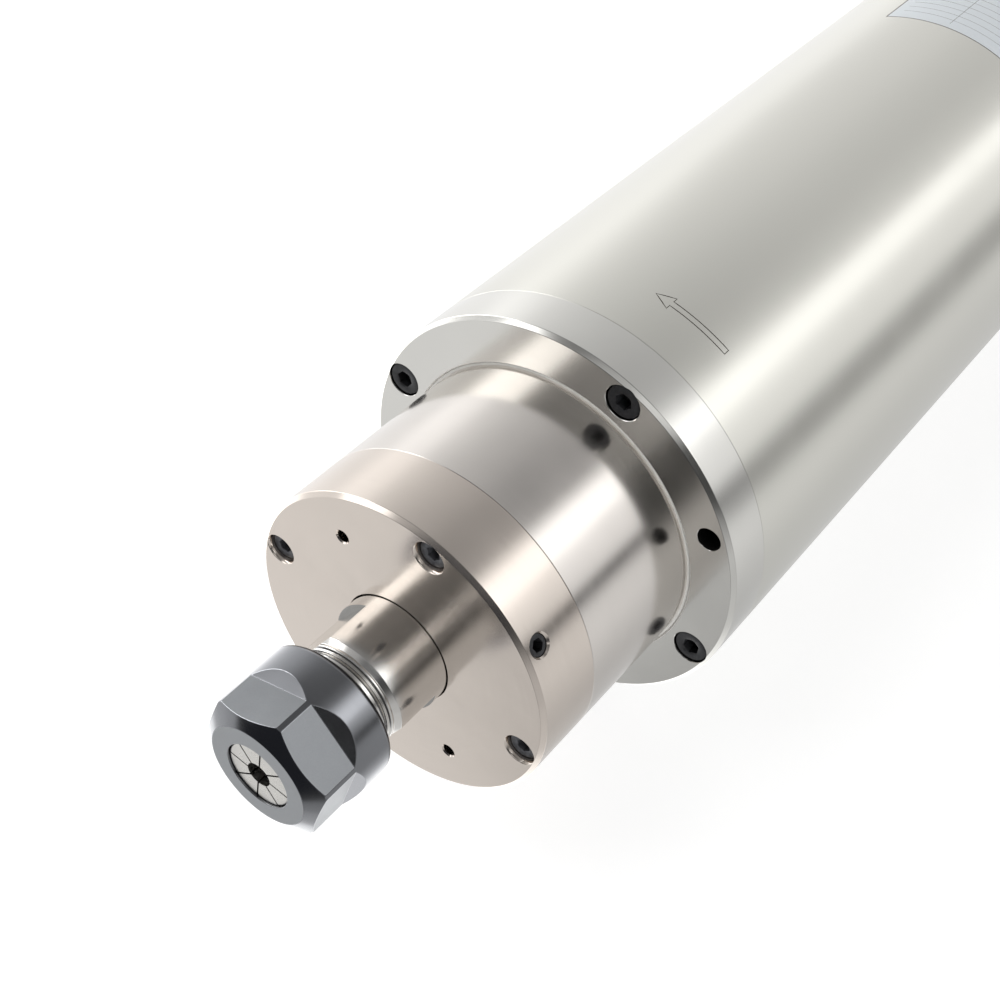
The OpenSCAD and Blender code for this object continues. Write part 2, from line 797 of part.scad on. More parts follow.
// Rear cover: cup that holds the wiring, the power connector and the water fittings
fitting_stem = 6;
fitting_stem_d = channel_d + 2;
module rear_cover() {
    wall_y = rear_face_y - rear_wall;
    color([0.80, 0.80, 0.77])
        difference() {
            turned([[bore_r - wiring_step, bell_end_y], [body_r - seam_break, bell_end_y],
                [body_r, bell_end_y + seam_break], [body_r, rear_face_y - rim_chamfer],
                [body_r - rim_chamfer, rear_face_y], [0, rear_face_y], [0, wall_y],
                [bore_r - wiring_step, wall_y]]);
            around(end_screw_count, wall_r, rear_screw_angle, bell_end_y - cut) {
                rod(end_screw_d + 2 * hole_play, rear_cover_t + 2 * cut);
                translate([0, 0, cut + rear_cover_t - end_bore_depth])
                    rod(head_d(end_screw_d) + 0.5, end_bore_depth + cut, $fn = 48);
            }
            for (a = [inlet_angle, outlet_angle]) {
                at(wall_r, a, bell_end_y - cut) {
                    rod(channel_d, rear_cover_t + 2 * cut);
                    rod(channel_d + 2.8, 1 + cut);
                }
                at(wall_r, a, rear_face_y - fitting_stem - 1)
                    rod(fitting_stem_d, fitting_stem + 1 + cut);
            }
            at(connector_r, connector_angle, wall_y - cut)
                rod(connector_d, rear_wall + 2 * cut, $fn = 48);
            at(connector_r, connector_angle, rear_face_y - connector_screw_grip)
                connector_corners()
                    rod(connector_screw_d, connector_screw_grip + cut);
        }
}

module rear_cover_screws() {
    grip = rear_cover_t - end_bore_depth + bell_t + rear_screw_grip;
    color([0.12, 0.12, 0.13])
        around(end_screw_count, wall_r, rear_screw_angle, rear_face_y - end_head_recess)
            rotate([180, 0, 0])
                socket_screw(end_screw_d, grip);
}

// Power connector: threaded shell on a square base, insulating insert and four pins
connector_screw_d = 3;
connector_screw_grip = 5;
connector_hole_inset = 2.8;
module connector_corners() {
    reach = connector_base / 2 - connector_hole_inset;
    for (x = [-reach, reach])
        for (z = [-reach, reach])
            translate([x, z, 0])
                children();
}

module connector_shell() {
    groove = 0.5;
    color([0.75, 0.76, 0.78])
        at(connector_r, connector_angle, rear_face_y)
            difference() {
                union() {
                    translate([-connector_base / 2, -connector_base / 2, 0])
                        cube([connector_base, connector_base, base_t]);
                    translate([0, 0, -rear_wall])
                        cylinder(d = connector_d - 2 * seat, h = rear_wall + base_t, $fn = 48);
                    translate([0, 0, base_t])
                        cylinder(d = connector_d - 1, h = connector_h, $fn = 48);
                    for (i = [0 : 4])
                        translate([0, 0, base_t + 2 + i * (connector_h - 3) / 4])
                            cylinder(d = connector_d, h = 1 - groove / 2, $fn = 48);
                }
                translate([0, 0, -rear_wall - cut])
                    cylinder(d = socket_d, h = rear_wall + base_t + connector_h + 2 * cut, $fn = 48);
                connector_corners()
                    translate([0, 0, -cut])
                        rod(connector_screw_d + 2 * seat, base_t + 2 * cut);
            }
}

insert_len = rear_wall + base_t + connector_h - socket_depth;
module connector_insert() {
    color([0.1, 0.1, 0.1])
        at(connector_r, connector_angle, rear_face_y - rear_wall)
            difference() {
                cylinder(d = socket_d - 2 * seat, h = insert_len, $fn = 48);
                for (i = [0 : 3])
                    rotate(i * 90)
                        translate([pin_pcd / 2, 0, -cut])
                            rod(pin_d + 2 * seat, insert_len + 2 * cut);
            }
}

pin_solder = 3;
pin_reach = 5.5;
module connector_pins() {
    color([0.85, 0.7, 0.35])
        at(connector_r, connector_angle, rear_face_y - rear_wall - pin_solder)
            for (i = [0 : 3])
                rotate(i * 90)
                    translate([pin_pcd / 2, 0, 0]) {
                        rod(pin_d, pin_solder + insert_len + pin_reach - pin_d / 2);
                        translate([0, 0, pin_solder + insert_len + pin_reach - pin_d / 2])
                            sphere(d = pin_d, $fn = 24);
                    }
}

module connector_screws() {
    length = base_t + connector_screw_grip - 1;
    color([0.7, 0.71, 0.72])
        at(connector_r, connector_angle, rear_face_y)
            connector_corners()
                translate([0, 0, base_t + connector_screw_d])
                    rotate([180, 0, 0])
                        socket_screw(connector_screw_d, length);
}

// Three phase leads from the rear end turns, through the web, to the connector pins
module motor_leads() {
    start_y = stack_end_y + winding_reach + seat;
    bend_y = bell_end_y + 2;
    end_y = rear_face_y - rear_wall - pin_solder - seat;
    knee_y = end_y - lead_d;
    ends = [[connector_r, -1], [connector_r + pin_pcd / 2, 0], [connector_r, 1]];
    color([0.6, 0.1, 0.08])
        rotate([0, -connector_angle, 0])
            for (e = ends) {
                bend = [lead_r, bend_y, e[1] * lead_pitch];
                knee = [e[0], knee_y, e[1] * pin_pcd / 2];
                rod_between([lead_r, start_y, e[1] * lead_pitch], bend, lead_d);
                rod_between(bend, knee, lead_d);
                rod_between(knee, [knee[0], end_y, knee[2]], lead_d);
                for (turn = [bend, knee])
                    translate(turn)
                        sphere(d = lead_d + 0.4, $fn = 24);
            }
}

// Water fitting: hexagon, stem in the rear cover and a barbed hose tail
module water_fitting() {
    hex_w = 9;
    hex_h = 5;
    root_r = 2.7;
    barb_r = 3.5;
    barbs = 3;
    barb_len = (tail_len - 2) / barbs;
    difference() {
        union() {
            cylinder(d = hex_w / cos(30), h = hex_h, $fn = 6);
            translate([0, 0, -fitting_stem])
                rod(fitting_stem_d - 2 * seat, fitting_stem + cut);
            translate([0, 0, hex_h - seat])
                rod(2 * root_r, 2 + tail_len - barb_len * 0.5);
            for (i = [0 : barbs - 1])
                translate([0, 0, hex_h + 2 + i * barb_len])
                    cylinder(r1 = barb_r, r2 = root_r, h = barb_len, $fn = 32);
        }
        translate([0, 0, -fitting_stem - cut])
            rod(fitting_bore_d, fitting_stem + hex_h + tail_len + 2 * cut);
    }
}

module water_fittings() {
    color([0.80, 0.62, 0.30])
        for (a = [inlet_angle, outlet_angle])
            at(wall_r, a, rear_face_y)
                water_fitting();
}

// Shaft: collet taper and nut thread at the nose, bearing seats and rotor seat behind
function taper_r(y) = collet_d / 2 + running - (y - collet_wide_y) * tan(collet_taper);
relief_len = 0.9 * thread_pitch;
relief_depth = 0.5;
nose_drill_len = 20;
module shaft() {
    thread_r = thread_d / 2;
    neck_y = shoulder_y - neck_taper;
    shoulder_front = front_1_y - shaft_shoulder_len;
    taper_end = collet_end_y + 2;
    drill_end = taper_end + nose_drill_len;
    color([0.78, 0.77, 0.75])
        difference() {
            turned([[0, shaft_end_y], [thread_r - 0.8, shaft_end_y],
                [thread_r, shaft_end_y + 0.8], [thread_r, neck_y - relief_len],
                [thread_r - relief_depth, neck_y - relief_len],
                [thread_r - relief_depth, neck_y], [thread_r + 0.6, neck_y],
                [nose_r, shoulder_y], [nose_r, shoulder_front],
                [front_bore / 2 + 3, shoulder_front], [front_bore / 2 + 3, front_1_y],
                [front_bore / 2, front_1_y], [front_bore / 2, front_stop_y + locknut_w + 1],
                [rotor_seat_r, front_stop_y + locknut_w + 1], [rotor_seat_r, rear_brg_y],
                [rear_bore / 2, rear_brg_y], [rear_bore / 2, shaft_rear_y - 1],
                [rear_bore / 2 - 1, shaft_rear_y], [0, shaft_rear_y]]);
            turned([[0, shaft_end_y - cut], [taper_r(shaft_end_y - cut), shaft_end_y - cut],
                [taper_r(taper_end), taper_end], [taper_r(taper_end), drill_end],
                [0, drill_end + 3]]);
            for (side = [0, 180])
                rotate([0, -flats_angle - side, 0])
                    translate([flats_w / 2, shoulder_y - neck_taper - relief_len, -nose_r])
                        cube([nose_r, flats_len + neck_taper + relief_len, nose_d]);
        }
}

// Slinger: throws coolant off in the recess of the front cover
module slinger() {
    y1 = front_1_y - shaft_shoulder_len;
    y0 = y1 - slinger_t;
    rim = recess_r - 0.8;
    color([0.6, 0.61, 0.63])
        turned([[nose_r + seat, y0], [rim - 1.5, y0], [rim, y0 + 1.5], [rim, y1],
            [nose_r + seat, y1]]);
}

// Rotor: lamination stack on the shaft, with a cast cage of bars and end rings
module rotor_core() {
    color([0.42, 0.43, 0.45])
        difference() {
            turned([[rotor_seat_r + seat, stack_start], [rotor_r, stack_start],
                [rotor_r, stack_end_y], [rotor_seat_r + seat, stack_end_y]]);
            around(bar_count, bar_r, 0, stack_start - cut)
                rod(bar_d, stack_len + 2 * cut, $fn = 24);
        }
}

module rotor_cage() {
    ring_in = rotor_seat_r + 2;
    ring_out = rotor_r - 0.4;
    color([0.76, 0.77, 0.78])
        union() {
            for (y = [stack_start - end_ring_len, stack_end_y])
                turned([[ring_in, y], [ring_out, y], [ring_out, y + end_ring_len],
                    [ring_in, y + end_ring_len]]);
            around(bar_count, bar_r, 0, stack_start - cut)
                rod(bar_d - 2 * seat, stack_len + 2 * cut, $fn = 24);
        }
}

// Collet: eight slits from each end, cut in turn, leave one springy piece
collet_cone_len = (collet_groove_d + 2 - collet_face_d) / 2 / tan(nose_cone);
groove_w = 2.3;
module collet_slit(angle, y, length) {
    rotate([0, -angle, 0])
        translate([0, y, -slit_w / 2])
            cube([collet_d, length, slit_w]);
}

module collet() {
    face_r = collet_face_d / 2;
    lip_r = collet_groove_d / 2 + 1;
    groove_r = collet_groove_d / 2;
    groove_y = collet_face_y + collet_cone_len;
    wide_r = collet_d / 2;
    end_r = wide_r - (collet_len - collet_front) * tan(collet_taper);
    color([0.85, 0.84, 0.81])
        difference() {
            turned([[0, collet_face_y], [face_r - 0.3, collet_face_y],
                [face_r, collet_face_y + 0.3], [lip_r - 0.2, groove_y],
                [groove_r, groove_y], [groove_r, groove_y + groove_w],
                [wide_r - 0.3, groove_y + groove_w], [wide_r, groove_y + groove_w + 0.3],
                [wide_r, collet_wide_y], [end_r, collet_end_y], [0, collet_end_y]]);
            at(0, 0, collet_face_y - cut) {
                rod(collet_bore_d, collet_len + 2 * cut, $fn = 48);
                cylinder(d1 = collet_bore_d + 2, d2 = collet_bore_d, h = cut + 0.4, $fn = 48);
            }
            for (i = [0 : slit_count - 1]) {
                collet_slit(slit_angle + i * 360 / slit_count,
                    collet_face_y - cut, collet_len - slit_web + cut);
                collet_slit(slit_angle + (i + 0.5) * 360 / slit_count,
                    collet_face_y + slit_web + collet_cone_len, collet_len);
            }
        }
}

// Collet nut: round skirt, six wrench flats, and a cone that bears on the collet
ring_y = collet_face_y + collet_cone_len + 0.4;
ring_w = groove_w - 0.8;
ring_seat_d = 22.6;
module nut_blank() {
    rear_round = 1.5;
    face_r = nut_face_d / 2;
    corner_r = nut_d / 2;
    cone_end = nut_face_y + (corner_r - face_r) * tan(nut_cone);
    intersection() {
        turned(concat([[0, nut_face_y], [face_r, nut_face_y], [corner_r, cone_end]],
            arc([corner_r - rear_round, nut_rear_y - rear_round], rear_round, 0, 90),
            [[0, nut_rear_y]]));
        union() {
            rotate([-90, 0, 0])
                translate([0, 0, nut_step_y])
                    cylinder(d = nut_d + 2, h = nut_skirt + cut, $fn = round_fn);
            rotate([0, -nut_angle, 0])
                rotate([-90, 0, 0])
                    translate([0, 0, nut_face_y - cut])
                        cylinder(d = nut_flats / cos(30), h = nut_len, $fn = 6);
        }
    }
}

module collet_nut() {
    thread_r = thread_d / 2 + running;
    open_r = nut_opening_d / 2;
    seat_r = ring_seat_d / 2;
    cone_y = nut_face_y + nut_lip;
    cone_r = open_r + (ring_y - cone_y) * tan(nose_cone);
    hollow_y = shaft_end_y - 0.8;
    lead_in = 0.6 * thread_pitch;
    color([0.33, 0.34, 0.36])
        difference() {
            nut_blank();
            turned([[0, nut_face_y - cut], [open_r, nut_face_y - cut], [open_r, cone_y],
                [cone_r, ring_y], [seat_r, ring_y], [seat_r, hollow_y], [thread_r, hollow_y],
                [thread_r, nut_rear_y - lead_in], [thread_r + lead_in, nut_rear_y],
                [thread_r + lead_in, nut_rear_y + cut], [0, nut_rear_y + cut]]);
        }
}

// Ring in the nut that hooks behind the collet lip and draws it out of the taper
module nut_extractor_ring() {
    inner = collet_groove_d / 2 + 0.4;
    outer = ring_seat_d / 2 - seat;
    color([0.5, 0.5, 0.52])
        turned([[inner, ring_y], [outer, ring_y], [outer, ring_y + ring_w],
            [inner, ring_y + ring_w]]);
}

front_cover();
front_cover_screws();
side_grub_screw();
bearing_housing();
mounting_flange();
flange_screws();
front_o_rings();
body_tube();
stator_core();
stator_windings();
front_bearing_outer_rings();
front_outer_spacer();
rear_bearing_housing();
rear_bearing_outer_ring();
preload_spring();
rear_o_rings();
rear_cover();
rear_cover_screws();
connector_shell();
connector_insert();
connector_pins();
connector_screws();
motor_leads();
water_fittings();
shaft();
slinger();
front_bearing_inner_rings();
front_inner_spacer();
front_locknut();
rotor_core();
rotor_cage();
rear_bearing_inner_ring();
rear_locknut();
front_bearing_balls();
front_bearing_cages();
rear_bearing_balls();
rear_bearing_cage();
collet();
collet_nut();
nut_extractor_ring();
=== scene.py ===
# %% [markdown]
# # A motor spindle with a collet nose
#
# This lesson dresses a water-cooled motor spindle. The solid model is already packed as
# a frame of named pieces, and every size here is the frame's own. The polished outside
# is turned again with many more steps, because a mirror shows each flat of a coarse
# circle. The pieces inside keep the frame's meshes and get their own finishes.

# %% Load the frame
import math

import bmesh
import bpy
from mathutils import Matrix, Vector


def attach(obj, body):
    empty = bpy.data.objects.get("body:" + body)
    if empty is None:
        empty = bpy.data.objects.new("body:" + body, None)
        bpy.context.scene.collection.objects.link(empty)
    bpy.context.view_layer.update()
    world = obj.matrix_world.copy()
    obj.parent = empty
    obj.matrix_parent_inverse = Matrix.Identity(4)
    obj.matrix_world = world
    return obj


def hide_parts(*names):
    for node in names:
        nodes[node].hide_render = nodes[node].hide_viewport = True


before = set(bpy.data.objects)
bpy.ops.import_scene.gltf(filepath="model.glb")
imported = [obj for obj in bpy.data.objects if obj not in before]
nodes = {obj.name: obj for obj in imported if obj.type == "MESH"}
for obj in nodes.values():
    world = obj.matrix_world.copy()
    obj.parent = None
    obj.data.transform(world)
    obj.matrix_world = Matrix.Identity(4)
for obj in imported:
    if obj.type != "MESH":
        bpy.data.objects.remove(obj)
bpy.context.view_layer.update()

# %% [markdown]
# ## Sizes
#
# A dressed piece has to meet the solids round it, so the main sizes are measured on the
# frame's own meshes. A station is a place along the spindle's axis, Y. Station zero is
# the front face of the mounting flange, and the nose points towards -Y. Lengths are in
# millimetres, and one factor turns them into Blender's metres.

# %% Sizes from the frame
MM = 0.001


def stations(name):
    """First and last station of a frame node, in millimetres."""
    along = [v.co.y / MM for v in nodes[name].data.vertices]
    return round(min(along), 2), round(max(along), 2)


def outer_radius(name):
    """Largest distance of a frame node from the axis, in millimetres."""
    away = [math.hypot(v.co.x, v.co.z) / MM for v in nodes[name].data.vertices]
    return round(max(away), 2)


NUT_FACE, NUT_BACK = stations("collet_nut")
COVER_FACE, SPIGOT_END = stations("front_cover")
COVER_SEAM, HOUSING_END = stations("bearing_housing")
FLANGE_FACE, TUBE_START = stations("mounting_flange")
TUBE_END = stations("body_tube")[1]
BELL_START, BELL_END = stations("rear_bearing_housing")
REAR_FACE = stations("rear_cover")[1]
BODY_R = outer_radius("body_tube")
print("body radius", BODY_R, "mm, nut face at", NUT_FACE, "and rear face at", REAR_FACE)

# %% [markdown]
# ## Camera
#
# The spindle lies on its side with its nose towards us. A product photographer stands
# close, looks down at about 42 degrees and uses a slightly long lens, so the nut looks
# large and the far end runs out of the picture. The camera's turn is built from the two
# directions that matter, where it looks and which way is up in the picture.

# %% Camera
FORWARD = Vector((-0.44674, 0.58811, -0.67422))
UP = Vector((-0.40782, 0.53688, 0.73853))
CAMERA_PLACE = Vector((0.1563, -0.2234, 0.2525))
LENS_LENGTH = 55.68
SENSOR_WIDTH = 36.0


def new_object(name, data):
    """Object in the scene, made from a mesh, a light or a camera."""
    made = bpy.data.objects.new(name, data)
    bpy.context.scene.collection.objects.link(made)
    return made


def make_camera():
    """Camera at its place in metres, looking along FORWARD."""
    data = bpy.data.cameras.new("studio_camera")
    data.lens = LENS_LENGTH
    data.sensor_width = SENSOR_WIDTH
    data.clip_start = 0.01
    data.clip_end = 20.0
    camera = new_object("studio_camera", data)
    right = FORWARD.cross(UP).normalized()
    up = right.cross(FORWARD).normalized()
    turn = Matrix((right, up, -FORWARD)).transposed().to_4x4()
    camera.matrix_world = Matrix.Translation(CAMERA_PLACE) @ turn
    return camera


bpy.context.scene.camera = make_camera()
print("camera at", [round(v, 3) for v in CAMERA_PLACE], "metres, lens", LENS_LENGTH, "mm")

# %% [markdown]
# ## Studio
#
# Polished metal has hardly any colour of its own: we see the room in it. So the room is
# designed first. Rings of soft panels stand round the spindle's axis, one behind the
# other. They give the long white band, the thin dark line between the panel and the
# floor, and the grey ceiling. The nose sees the room twice, once in the cover's face, so
# the front has its own rings. Dead ahead the room is dark, which blackens the nut's cone.
# The camera itself sees only a white backdrop, and a pale floor takes a soft shadow.

# %% Node helpers
def link_or_set(tree, socket, value):
    """Give a socket a link or a plain value."""
    if isinstance(value, bpy.types.NodeSocket):
        tree.links.new(value, socket)
    else:
        socket.default_value = value


def set_inputs(tree, node, inputs):
    """Fill the inputs of a node, by socket name or number."""
    for key, value in inputs.items():
        link_or_set(tree, node.inputs[key], value)


def add_node(tree, kind, inputs=None, **settings):
    """New node with its settings and inputs."""
    made = tree.nodes.new(kind)
    for key, value in settings.items():
        setattr(made, key, value)
    set_inputs(tree, made, inputs or {})
    return made


def maths(tree, operation, *values):
    """Output of one Math node."""
    numbered = dict(enumerate(values))
    return add_node(tree, "ShaderNodeMath", numbered, operation=operation).outputs[0]


def mixed(tree, factor, before, after):
    """Colour between two others, by a factor."""
    return add_node(tree, "ShaderNodeMix", {0: factor, 6: before, 7: after},
        data_type="RGBA").outputs[2]


def ramp(tree, factor, stops):
    """Output of a colour ramp from (place, grey) stops."""
    made = add_node(tree, "ShaderNodeValToRGB", {0: factor})
    marks = made.color_ramp.elements
    while len(marks) < len(stops):
        marks.new(0.5)
    for mark, (place, grey) in zip(marks, stops):
        mark.position = place
        mark.color = (grey, grey, grey, 1.0)
    return made.outputs["Color"]


# %% Room of soft panels
# Each ring of panels gives (angle round the axis, brightness), from +X towards +Z
AHEAD_PANELS = [
    (-180, 0.06), (-170, 0.06), (-160, 0.50), (-130, 0.75), (-95, 0.60), (-84, 0.40),
    (-78, 0.06), (-58, 0.06), (-50, 0.35), (-20, 0.50), (-4, 0.20), (8, 0.08), (32, 0.10),
    (42, 0.70), (50, 0.95), (66, 0.95), (76, 0.55), (110, 0.45), (140, 0.60), (158, 0.75),
    (166, 0.30), (171, 0.06), (180, 0.06),
]
FRONT_PANELS = [
    (-180, 0.80), (-150, 0.80), (-126, 0.78), (-119, 0.62), (-112, 0.42), (-97, 0.42),
    (-85, 0.50), (-24, 0.53), (-12, 0.37), (0, 0.08),
    (13, 0.05), (37, 0.05), (43, 0.10), (50, 0.07), (62, 0.09), (86, 0.13), (111, 0.18),
    (121, 0.30), (127, 0.65), (133, 1.9), (160, 2.1), (168, 1.1), (176, 0.85), (180, 0.80),
]
NOSE_PANELS = [
    (-180, 0.78), (-164, 0.95), (-150, 0.97), (-124, 0.85), (-97, 0.92), (-85, 0.88),
    (-73, 0.66), (-48, 0.64), (-24, 0.73), (-12, 0.60), (-3, 0.16), (4, 0.16), (13, 0.64),
    (25, 0.94), (30, 3.8), (43, 3.8), (50, 1.6), (60, 0.29), (111, 0.31), (123, 0.40),
    (135, 1.1), (142, 2.3), (160, 2.2), (167, 1.1), (174, 0.75), (180, 0.78),
]
RIM_PANELS = [
    (-180, 0.90), (-150, 0.90), (-124, 0.85), (-95, 0.80), (-73, 0.70), (-24, 0.50),
    (0, 0.15), (30, 0.50), (60, 0.20), (110, 0.25), (135, 0.55), (150, 0.62), (172, 0.90),
    (180, 0.90),
]
STRIP_PANELS = [
    (-180, 1.5), (-150, 2.0), (-95, 1.6), (-73, 1.1), (-49, 0.52), (-12, 0.50), (0, 0.17),
    (25, 0.80), (50, 0.60), (60, 0.30), (111, 0.30), (130, 0.50), (138, 5.0), (172, 5.0),
    (180, 1.5),
]
NEAR_PANELS = [
    (-180, 1.25), (-164, 1.60), (-151, 2.0), (-120, 1.9), (-95, 1.6), (-85, 1.6), (-73, 1.1),
    (-61, 0.78), (-49, 0.52), (-12, 0.50), (-4, 0.20), (4, 0.17), (12, 0.50), (25, 1.1),
    (31, 2.1), (42, 2.1), (50, 1.3), (60, 0.42), (74, 0.18), (99, 0.18), (111, 0.22),
    (124, 0.36), (136, 0.56), (148, 0.75), (160, 0.90), (173, 1.15), (180, 1.25),
]
MIDDLE_PANELS = [
    (-180, 0.96), (-160, 0.97), (-147, 1.0), (-124, 0.85), (-90, 0.55), (-65, 0.52),
    (-53, 0.57), (-40, 0.65), (-28, 0.74), (-12, 0.76), (-6, 0.50), (-2, 0.10), (2, 0.10),
    (6, 0.70), (12, 0.86), (23, 0.97), (29, 1.1), (33, 1.5), (48, 1.5), (54, 0.80),
    (60, 0.37), (75, 0.32), (88, 0.35), (101, 0.46), (114, 0.55), (126, 0.66), (139, 0.83),
    (150, 1.10), (164, 1.20), (175, 1.02), (180, 0.96),
]
FAR_PANELS = [
    (-180, 1.05), (-156, 1.0), (-144, 1.03), (-124, 0.85), (-90, 0.60), (-55, 0.60),
    (-43, 0.66), (-30, 0.73), (-20, 0.70), (-12, 0.40), (-4, 0.33), (2, 0.50), (9, 0.85),
    (22, 0.93), (30, 1.1), (33, 1.4), (44, 1.4), (50, 0.85), (58, 0.56), (70, 0.48),
    (82, 0.49), (102, 0.56), (115, 0.63), (128, 0.71), (141, 0.82), (154, 1.0), (166, 1.13),
    (180, 1.05),
]
BACK_PANELS = [
    (-180, 1.06), (-156, 1.0), (-144, 1.1), (-124, 0.90), (-90, 0.61), (-55, 0.62),
    (-43, 0.66), (-32, 0.72), (-24, 0.66), (-17, 0.40), (-8, 0.38), (-2, 0.50), (6, 0.86),
    (20, 0.86), (28, 1.0), (32, 1.3), (42, 1.3), (48, 0.80), (58, 0.66), (75, 0.60),
    (89, 0.63), (102, 0.67), (115, 0.73), (135, 0.78), (154, 0.85), (166, 1.0), (180, 1.06),
]
# Where along the axis one ring gives way to the next, as the Y part of a direction
PANEL_RINGS = [
    (-0.79, -0.765, AHEAD_PANELS), (-0.70, -0.66, FRONT_PANELS),
    (-0.50, -0.472, NOSE_PANELS), (-0.462, -0.45, RIM_PANELS), (-0.20, -0.12, STRIP_PANELS),
    (0.12, 0.20, NEAR_PANELS), (0.46, 0.50, MIDDLE_PANELS), (0.63, 0.67, FAR_PANELS),
    (0.72, 0.78, BACK_PANELS),
]
# Ahead of the first ring the room is dark, and behind the last it turns grey
DARK_END = (0.035, 0.036, 0.042, 1.0)
GREY_END = (0.62, 0.61, 0.60, 1.0)
GREY_FROM, GREY_TO = 0.90, 0.98
WHITE = (1.0, 1.0, 1.0, 1.0)


def make_room():
    """World light: rings of panels round the Y axis, soft white for the camera."""
    world = bpy.data.worlds.new("studio_room")
    bpy.context.scene.world = world
    world.use_nodes = True
    tree = world.node_tree
    tree.nodes.clear()
    way = add_node(tree, "ShaderNodeTexCoord").outputs["Generated"]
    parts = add_node(tree, "ShaderNodeSeparateXYZ", {0: way}).outputs
    angle = maths(tree, "ARCTAN2", parts["Z"], parts["X"])
    turn = maths(tree, "ADD", maths(tree, "DIVIDE", angle, 2 * math.pi), 0.5)

    def change(start, stop, before, after):
        """The colour after a soft step in the Y part of the direction."""
        share = add_node(tree, "ShaderNodeMapRange",
            {0: parts["Y"], 1: start, 2: stop, 3: 0.0, 4: 1.0},
            interpolation_type="SMOOTHSTEP").outputs[0]
        return mixed(tree, share, before, after)

    room = DARK_END
    for start, stop, panels in PANEL_RINGS:
        stops = [((a + 180) / 360, tone) for a, tone in panels]
        room = change(start, stop, room, ramp(tree, turn, stops))
    room = change(GREY_FROM, GREY_TO, room, GREY_END)
    seen = add_node(tree, "ShaderNodeLightPath").outputs["Is Camera Ray"]
    shown = mixed(tree, seen, room, WHITE)
    light = add_node(tree, "ShaderNodeBackground", {"Color": shown, "Strength": 1.0})
    end = add_node(tree, "ShaderNodeOutputWorld")
    tree.links.new(light.outputs[0], end.inputs["Surface"])


make_room()
bpy.context.scene.view_settings.view_transform = "Standard"
print("rings of panels:", len(PANEL_RINGS))

# %% Key light
AIM_AT = Vector((0.0, 0.08, 0.0))


def make_softbox(name, place, size, watts):
    """Area light aimed at the front of the tube, hidden from mirrors."""
    data = bpy.data.lights.new(name, "AREA")
    data.size = size
    data.energy = watts
    box = new_object(name, data)
    turn = (AIM_AT - Vector(place)).to_track_quat("-Z", "Y").to_matrix().to_4x4()
    box.matrix_world = Matrix.Translation(place) @ turn
    box.visible_glossy = False
    print(name, size, "m wide,", watts, "W")


make_softbox("key_softbox", (-0.7, -0.35, 1.3), 1.1, 8.0)
make_softbox("side_softbox", (1.1, -0.55, 0.15), 0.7, 9.0)

# %% [markdown]
# ## Profiles and turning
#
# Nearly every piece of a spindle comes off a lathe. We draw half of its cross-section as
# points of radius and station, soften the corners, and spin it round the Y axis. Holes
# are cut with turned solids too, which stand on a pitch circle or point out from the axis.

# %% Turning helpers
STEPS = 240
# Nearer to the axis than this, in millimetres, a point lies on it
ON_AXIS = 1e-4
# Most of a side that one round edge may take
SIDE_SHARE = 0.45
# Corner of a hexagon, as a multiple of half its width across flats
HEX_CORNER = 1 / math.cos(math.radians(30))


def softened(corners, cuts=3):
    """Closed outline from (radius, station, edge radius) corners, with round edges."""
    points = []
    count = len(corners)
    for i, corner in enumerate(corners):
        here = Vector(corner[:2])
        edge = corner[2] if len(corner) > 2 else 0.0
        if edge <= 0:
            points.append(tuple(here))
            continue
        back = Vector(corners[i - 1][:2]) - here
        ahead = Vector(corners[(i + 1) % count][:2]) - here
        start = here + back.normalized() * min(edge, back.length * SIDE_SHARE)
        stop = here + ahead.normalized() * min(edge, ahead.length * SIDE_SHARE)
        for k in range(cuts + 1):
            s = k / cuts
            bend = start * (1 - s) ** 2 + here * 2 * s * (1 - s) + stop * s * s
            points.append(tuple(bend))
    return points


def mesh_piece(name, points, faces):
    """Object from points in millimetres, with its faces turned outwards."""
    mesh = bpy.data.meshes.new(name)
    mesh.from_pydata([Vector(p) * MM for p in points], [], faces)
    shape = bmesh.new()
    shape.from_mesh(mesh)
    bmesh.ops.recalc_face_normals(shape, faces=shape.faces)
    shape.to_mesh(mesh)
    shape.free()
    return new_object(name, mesh)


def turned(name, outline, steps=STEPS, first=0.0, middle=(0.0, 0.0)):
    """Spin a closed outline of (radius, station) round an axis along Y."""
    points, rings = [], []
    for radius, station in outline:
        count = 1 if radius < ON_AXIS else steps
        rings.append((len(points), count))
        for k in range(count):
            a = math.radians(first) + 2 * math.pi * k / steps
            x = middle[0] + radius * math.cos(a)
            points.append((x, station, middle[1] + radius * math.sin(a)))
    faces = []
    for i, (start, count) in enumerate(rings):
        after, other = rings[(i + 1) % len(rings)]
        if count == 1 and other == 1:
            continue
        for k in range(steps):
            n = (k + 1) % steps
            if count == 1:
                faces.append((start, after + k, after + n))
            elif other == 1:
                faces.append((start + k, start + n, after))
            else:
                faces.append((start + k, start + n, after + n, after + k))
    return mesh_piece(name, points, faces)


# %% Cutting helpers
def joined(name, pieces):
    """One object from several, which are removed."""
    shape = bmesh.new()
    for piece in pieces:
        shape.from_mesh(piece.data)
    mesh = bpy.data.meshes.new(name)
    shape.to_mesh(mesh)
    shape.free()
    for piece in pieces:
        bpy.data.objects.remove(piece)
    return new_object(name, mesh)


def settled(piece):
    """Turn the modifiers of a piece into plain mesh and take them off."""
    graph = bpy.context.evaluated_depsgraph_get()
    mesh = bpy.data.meshes.new_from_object(piece.evaluated_get(graph), depsgraph=graph)
    piece.modifiers.clear()
    piece.data = mesh
    return piece


